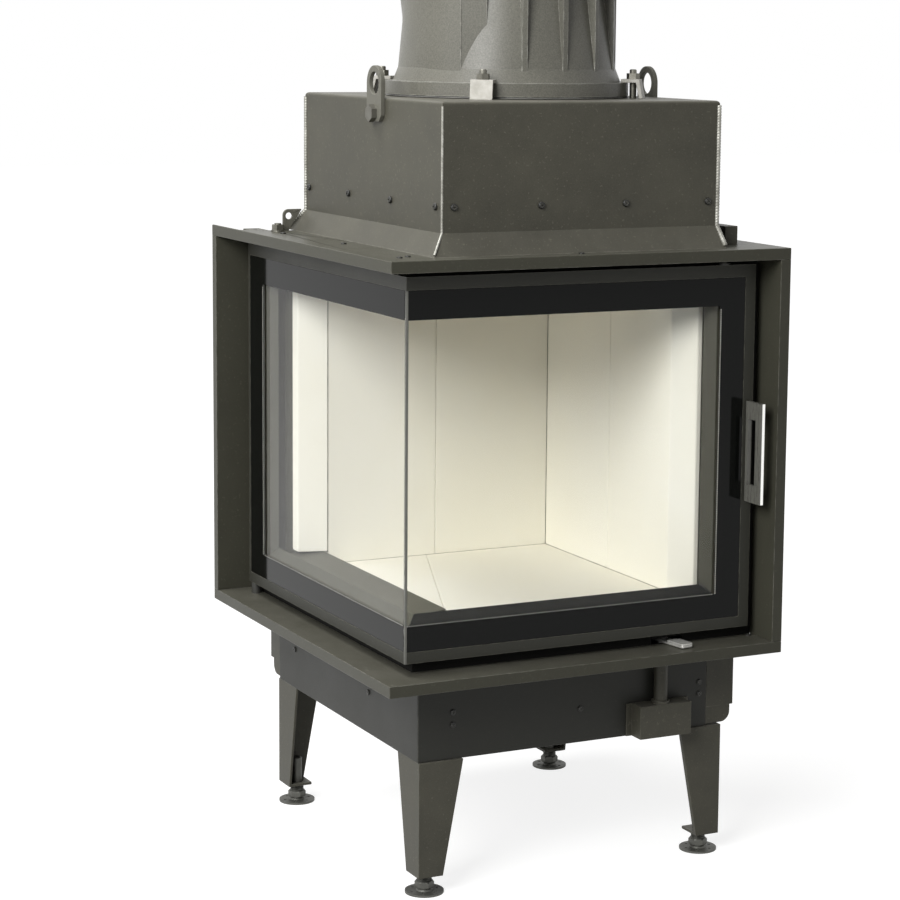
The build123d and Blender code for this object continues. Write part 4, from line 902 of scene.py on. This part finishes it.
def weld_beads():
    """Beads up the four corners of the heat box, the one over the glass corner ground down."""
    box_low, box_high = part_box("heat_box")
    verts, faces = [], []
    for x, flare, out_x in ((box_low.x, skirt_flare, 1), (box_high.x, skirt_right_flare, -1)):
        for y, out_y in ((box_low.y, 1), (box_high.y, -1)):
            foot = Vector((x, y, box_low.z + weld_radius))
            kink = Vector((
                x + out_x * flare, y + out_y * skirt_flare, box_low.z + skirt_height,
            ))
            head = Vector((kink.x, kink.y, box_high.z - bead_top))
            inward = Vector((out_x, out_y, 0.0)).normalized() * weld_radius * weld_sunk
            ground = near_bead if out_x > 0 and out_y > 0 else 1.0
            weld_bead(verts, faces, [foot + inward, kink + inward, head + inward], ground)
    beads = piece_from(
        "weld_beads", verts, faces, finishes["weld_steel"], "insert_body",
    )
    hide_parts("heat_box_welds")


weld_beads()


# Braided rope, and the length of it that seals the door

rope_around = 16
rope_step = 0.9 * MM
rope_lay = 6.0 * MM
rope_relief = 0.10
rope_half = 4.0 * MM
rope_thin = 1.5 * MM
up = Vector((0, 0, 1))
right_way = Vector((1, 0, 0))
back_way = Vector((0, 1, 0))


def rope_tube(name, route, half_width, half_depth, body):
    """Closed braided rope along a route of (centre, wide way, deep way)."""
    verts = []
    travelled = 0.0
    for number, (centre, wide, deep) in enumerate(route):
        if number:
            travelled += (centre - route[number - 1][0]).length
        lay = tau * travelled / rope_lay
        for step in range(rope_around):
            turn = tau * step / rope_around
            swell = 1.0 - rope_relief + rope_relief * sin(lay + 2 * turn) * sin(lay - 2 * turn)
            over = wide * half_width * swell * cos(turn)
            verts.append(centre + over + deep * half_depth * swell * sin(turn))
    faces = tube_faces(len(route), rope_around, True)
    return piece_from(name, verts, faces, finishes["rope"], body)


def run_rope(points):
    """Evenly spaced points round a closed route, with the rope's wide way beside each run."""
    spaced = []
    for (start, inward), (stop, _) in zip(points, points[1:] + points[:1]):
        run = stop - start
        steps = max(1, ceil(run.length / rope_step))
        along = run.normalized()
        spaced += [(start + run * i / steps, inward, along.cross(inward)) for i in range(steps)]
    return spaced


def door_rope():
    """Rope round both panes, over the glass corner."""
    low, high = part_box("door_seal")
    near_x = low.x + rope_thin
    near_y = low.y + rope_thin
    right_x = high.x - rope_half
    rear_y = high.y - rope_half
    low_z = low.z + rope_half
    high_z = high.z - rope_half
    route = run_rope([
        (Vector((right_x, near_y, low_z)), up),
        (Vector((near_x, near_y, low_z)), up),
        (Vector((near_x, rear_y, low_z)), back_way),
        (Vector((near_x, rear_y, high_z)), up),
        (Vector((near_x, near_y, high_z)), up),
        (Vector((right_x, near_y, high_z)), right_way),
    ])
    rope = rope_tube("door_rope", route, rope_half, rope_thin, "glass_door")
    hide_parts("door_seal")


door_rope()


# Right-hand lining of two bricks, splayed at the front, and painted shade in the firebox joints

brick_low, brick_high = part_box("lining_side")
brick_joint = -41.0 * MM
brick_gap = 0.6 * MM
brick_splay = 22.0 * MM
brick_round = 1.2 * MM
joint_line = 0.6 * MM


def upright_blocks(name, blocks, finish, body):
    """Piece of upright blocks, each given as (plan outline, bottom, top)."""
    verts, faces = [], []
    for outline, bottom, top in blocks:
        faces += plate_faces(len(outline), len(verts))
        verts += [(x, y, z) for z in (bottom, top) for x, y in outline]
    return piece_from(name, verts, faces, finish, body, smooth=False)


def lining_bricks():
    """Two bricks in place of the right-hand lining."""
    left, right = brick_low.x, brick_high.x
    front = [
        (left, brick_low.y + brick_splay),
        (left + brick_splay, brick_low.y),
        (right, brick_low.y),
        (right, brick_joint - brick_gap / 2),
        (left, brick_joint - brick_gap / 2),
    ]
    back = [
        (left, brick_joint + brick_gap / 2),
        (right, brick_joint + brick_gap / 2),
        (right, brick_high.y),
        (left, brick_high.y),
    ]
    blocks = [(outline, brick_low.z, brick_high.z) for outline in (front, back)]
    bricks = upright_blocks(
        "lining_bricks", blocks, finishes["fireclay"], "insert_body",
    )
    soften(bricks, brick_round)
    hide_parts("lining_side")


def square_bar(start, stop, size):
    """Block of a square bar along a straight run parallel to an axis."""
    low = [min(a, b) - size / 2 for a, b in zip(start, stop)]
    high = [max(a, b) + size / 2 for a, b in zip(start, stop)]
    outline = [(low[0], low[1]), (high[0], low[1]), (high[0], high[1]), (low[0], high[1])]
    return outline, low[2], high[2]


def paint_joint_shade():
    """Dark lines where hearth and linings meet: painted shade in the joints."""
    corner_low, corner_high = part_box("lining_corner")
    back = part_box("lining_back")[0].y
    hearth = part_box("hearth_tiles")[1].z
    left, right = corner_high.x, brick_low.x
    runs = [
        ((right, brick_low.y + brick_splay, hearth), (right, back, hearth)),
        ((left, back, hearth), (right, back, hearth)),
        ((right, back, hearth), (right, back, brick_high.z)),
        ((left, back, corner_low.z), (left, back, corner_high.z)),
    ]
    bars = [square_bar(start, stop, joint_line) for start, stop in runs]
    upright_blocks("joint_painted_shade", bars, joint_painted_shade, "insert_body")


lining_bricks()
paint_joint_shade()


# Narrow angle on the glass corner, from the foot of the door frame to the head of the panes

strip_leg = 2.4 * MM
strip_sheet = 0.35 * MM
strip_proud = 0.25 * MM
strip_round = 0.12 * MM


def glass_corner_strip():
    """Small angle that covers the meeting edges of the panes."""
    frame_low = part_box("door_frame")[0]
    x = frame_low.x - strip_proud
    y = frame_low.y - strip_proud
    outline = [
        (x, y),
        (x + strip_leg, y),
        (x + strip_leg, y + strip_sheet),
        (x + strip_sheet, y + strip_sheet),
        (x + strip_sheet, y + strip_leg),
        (x, y + strip_leg),
    ]
    blocks = [(outline, frame_low.z, front_high.z)]
    strip = upright_blocks("glass_corner_strip", blocks, corner_steel, "glass_door")
    soften(strip, strip_round)


glass_corner_strip()


# Braided seal under the dome

dome_rope_width = 13.0 * MM
dome_rope_steps = 540


def dome_rope():
    """Flat braided ring between the dome's flange and the heat box."""
    low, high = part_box("dome_seal")
    middle = (low + high) / 2
    radius = (high.x - low.x) / 2 - dome_rope_width / 2
    route = []
    for step in range(dome_rope_steps):
        turn = tau * step / dome_rope_steps
        outward = Vector((cos(turn), sin(turn), 0.0))
        route.append((middle + outward * radius, outward, up))
    rope = rope_tube("dome_rope", route, dome_rope_width / 2, (high.z - low.z) / 2, "insert_body")
    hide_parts("dome_seal")


dome_rope()


# Lock nuts and threaded sleeves over the foot screws

FEET = ("foot_front_left", "foot_front_right", "foot_rear_left", "foot_rear_right")
nut_height = 8.0 * MM
nut_chamfer = 1.2 * MM
nut_points = 48
thread_radius = 8.4 * MM
thread_pitch = 1.75 * MM
thread_depth = 0.9 * MM
thread_points = 48
thread_rows = 6


def hex_nut(verts, faces, x, y, bottom, top, corner_radius):
    """Hexagonal nut with chamfered corners, added to lists of points and faces."""
    flat_radius = corner_radius * cos(pi / 6)
    rings = (
        (bottom, flat_radius),
        (bottom + nut_chamfer, corner_radius),
        (top - nut_chamfer, corner_radius),
        (top, flat_radius),
    )
    faces += tube_faces(len(rings), nut_points, False, len(verts))
    for height, reach in rings:
        for step in range(nut_points):
            turn = tau * step / nut_points
            hexagon = flat_radius / cos((turn + pi / 6) % (pi / 3) - pi / 6)
            radius = min(hexagon, reach)
            verts.append((x + radius * cos(turn), y + radius * sin(turn), height))


def threaded_sleeve(verts, faces, x, y, bottom, top):
    """Short length of thread, added to lists of points and faces."""
    rows = int((top - bottom) / thread_pitch * thread_rows) + 1
    faces += tube_faces(rows, thread_points, False, len(verts))
    for row in range(rows):
        height = bottom + (top - bottom) * row / (rows - 1)
        for step in range(thread_points):
            turn = tau * step / thread_points
            phase = ((height - bottom) / thread_pitch - step / thread_points) % 1.0
            radius = thread_radius - thread_depth * abs(2 * phase - 1)
            verts.append((x + radius * cos(turn), y + radius * sin(turn), height))


def foot_nut_sets():
    """Lock nut and thread at each of the four feet, as one group."""
    nut_low, nut_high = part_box("foot_nuts")
    nut_top = nut_low.z + nut_height
    boxes = [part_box(name) for name in FEET]
    middles = [((low.x + high.x) / 2, (low.y + high.y) / 2) for low, high in boxes]
    corner_radius = middles[0][0] - nut_low.x
    verts, faces = [], []
    for x, y in middles:
        hex_nut(verts, faces, x, y, nut_low.z, nut_top, corner_radius)
        threaded_sleeve(verts, faces, x, y, nut_top, nut_high.z)
    nuts = piece_from(
        "foot_nut_sets", verts, faces, finishes["foot_steel"], "insert_body",
        smooth=False,
    )
    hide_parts("foot_nuts")


foot_nut_sets()


# Air lever: a strip folded back on itself for a thick grip

lever_axis = Vector((121.0, -205.0, 0.0)) * MM
lever_turn = radians(10.0)
lever_low = 264.0 * MM
lever_strip = 2.5 * MM
lever_thick = 4.8 * MM
lever_half = 8.0 * MM
lever_tail = 9.0 * MM
lever_reach = 46.0 * MM
grip_start = 18.0 * MM
lever_corner = 2.5 * MM
lever_corner_steps = 5
lever_round = 0.6 * MM


def lever_point(along, aside, height):
    """Place of a point of the lever, given along it, across it and above the floor."""
    ahead = Vector((sin(lever_turn), -cos(lever_turn), 0.0))
    beside = Vector((cos(lever_turn), sin(lever_turn), 0.0))
    return lever_axis + ahead * along + beside * aside + up * height


def lever_outline(start, end):
    """Outline of a strip with rounded corners, in (along, aside)."""
    along_low, along_high = start + lever_corner, end - lever_corner
    aside = lever_half - lever_corner
    outline = []
    for quarter, middle in enumerate((
        (along_high, aside), (along_low, aside), (along_low, -aside), (along_high, -aside),
    )):
        for step in range(lever_corner_steps + 1):
            turn = tau / 4 * (quarter + step / lever_corner_steps)
            along = middle[0] + lever_corner * cos(turn)
            outline.append((along, middle[1] + lever_corner * sin(turn)))
    return outline


def air_lever_grip():
    """Lever of the air control, over the shaft and out under the door."""
    fold = lever_low + lever_strip
    layers = (
        (lever_outline(-lever_tail, lever_reach), lever_low, fold),
        (lever_outline(grip_start, lever_reach), fold, lever_low + lever_thick),
    )
    verts, faces = [], []
    for outline, bottom, top in layers:
        faces += plate_faces(len(outline), len(verts))
        verts += [lever_point(a, s, height) for height in (bottom, top) for a, s in outline]
    grip = piece_from(
        "air_lever_grip", verts, faces, lever_steel, "air_control", smooth=False,
    )
    soften(grip, lever_round, segments=3)
    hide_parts("air_lever")


air_lever_grip()


# Camera at the photograph's viewing angle

camera_place = Vector((-1.3176, -2.6405, 0.9522))
camera_yaw = radians(27.22)
camera_pitch = radians(8.04)
camera_roll = radians(0.63)
camera_lens = 101.48
camera_sensor = 36.0
camera_shift = (-0.077, -0.07)
camera_far = 60.0


def make_camera():
    """Long lens from the left front, a little above the middle of the object."""
    ahead = Vector((
        sin(camera_yaw) * cos(camera_pitch),
        cos(camera_yaw) * cos(camera_pitch),
        -sin(camera_pitch),
    ))
    level = Vector((cos(camera_yaw), -sin(camera_yaw), 0.0))
    upright = level.cross(ahead)
    right = level * cos(camera_roll) + upright * sin(camera_roll)
    above = upright * cos(camera_roll) - level * sin(camera_roll)
    turned = Matrix((right, above, -ahead)).transposed().to_4x4()
    lens = bpy.data.cameras.new("camera")
    lens.lens = camera_lens
    lens.sensor_width = camera_sensor
    lens.shift_x, lens.shift_y = camera_shift
    lens.clip_end = camera_far
    camera = bpy.data.objects.new("camera", lens)
    camera.matrix_world = Matrix.Translation(camera_place) @ turned
    bpy.context.scene.collection.objects.link(camera)
    bpy.context.scene.camera = camera


make_camera()


# Soft studio light, white background and pale floor

WHITE = (1.0, 1.0, 1.0, 1.0)
LAMPS = {
    "key_lamp": dict(stand=(-2.30, -1.66, 2.05), wide=1.5, high=1.5, power=104.0),
    "left_lamp": dict(stand=(-2.78, -0.15, 1.0), wide=0.5, high=1.7, power=8.0),
    "fill_lamp": dict(stand=(2.2, -2.3, 1.2), wide=1.4, high=1.4, power=0.8),
    "top_lamp": dict(stand=(-0.95, 0.4, 3.1), wide=1.4, high=1.4, power=70.0),
}
lamp_aim = Vector((0.0, 0.0, 0.6))
sky_level = 0.14
FLOOR_TONE = (0.34, 0.34, 0.335, 1.0)
floor_reach = 14.0
floor_glow = 0.84
floor_near = 0.9
floor_far = 2.4


def make_lamp(name, stand, wide, high, power):
    """Rectangular soft box turned to the middle of the object."""
    lamp = bpy.data.lights.new(name, "AREA")
    lamp.shape = "RECTANGLE"
    lamp.size = wide
    lamp.size_y = high
    lamp.energy = power
    holder = bpy.data.objects.new(name, lamp)
    holder.location = stand
    holder.rotation_mode = "QUATERNION"
    holder.rotation_quaternion = (lamp_aim - Vector(stand)).to_track_quat("-Z", "Y")
    bpy.context.scene.collection.objects.link(holder)


def seen_straight(tree):
    """1 where the camera, a mirror or the glass looks, and 0 for the light on the object."""
    rays = tree.nodes.new("ShaderNodeLightPath").outputs
    seen = reckon(tree, "MAXIMUM", rays["Is Camera Ray"], rays["Is Glossy Ray"])
    return reckon(tree, "MAXIMUM", seen, rays["Is Transmission Ray"])


def make_world():
    """White where it is seen, and a softer light elsewhere."""
    world = bpy.data.worlds.new("studio")
    world.use_nodes = True
    tree = world.node_tree
    tree.nodes.clear()
    strength = rescale(tree, seen_straight(tree), 0.0, 1.0, sky_level, 1.0)
    sky = place(tree, "ShaderNodeBackground", {"Color": WHITE, "Strength": strength})
    place(tree, "ShaderNodeOutputWorld", {"Surface": sky.outputs[0]})
    bpy.context.scene.world = world


def make_floor_paper():
    """Pale paper that whitens away from the object where it is seen."""
    finish = bpy.data.materials.new("floor_paper")
    finish.use_nodes = True
    tree = finish.node_tree
    tree.nodes.clear()
    matt = place(tree, "ShaderNodeBsdfDiffuse", {"Color": FLOOR_TONE})
    away = place(tree, "ShaderNodeVectorMath", {0: place_coords(tree)}, operation="LENGTH")
    level = rescale(tree, away.outputs["Value"], floor_near, floor_far, floor_glow, 1.0)
    strength = times(tree, seen_straight(tree), level)
    glow = place(tree, "ShaderNodeEmission", {"Color": WHITE, "Strength": strength})
    both = place(tree, "ShaderNodeAddShader", {0: matt.outputs[0], 1: glow.outputs[0]})
    place(tree, "ShaderNodeOutputMaterial", {"Surface": both.outputs[0]})
    return finish


def make_floor():
    """Floor that keeps the object's shadow."""
    near, far = -floor_reach, floor_reach
    corners = [(near, near, 0), (far, near, 0), (far, far, 0), (near, far, 0)]
    mesh = bpy.data.meshes.new("floor")
    mesh.from_pydata(corners, [], [(0, 1, 2, 3)])
    mesh.materials.append(make_floor_paper())
    floor = bpy.data.objects.new("floor", mesh)
    bpy.context.scene.collection.objects.link(floor)


make_world()
make_floor()
for lamp_name, setting in LAMPS.items():
    make_lamp(lamp_name, **setting)

bpy.context.scene.view_settings.view_transform = "Standard"
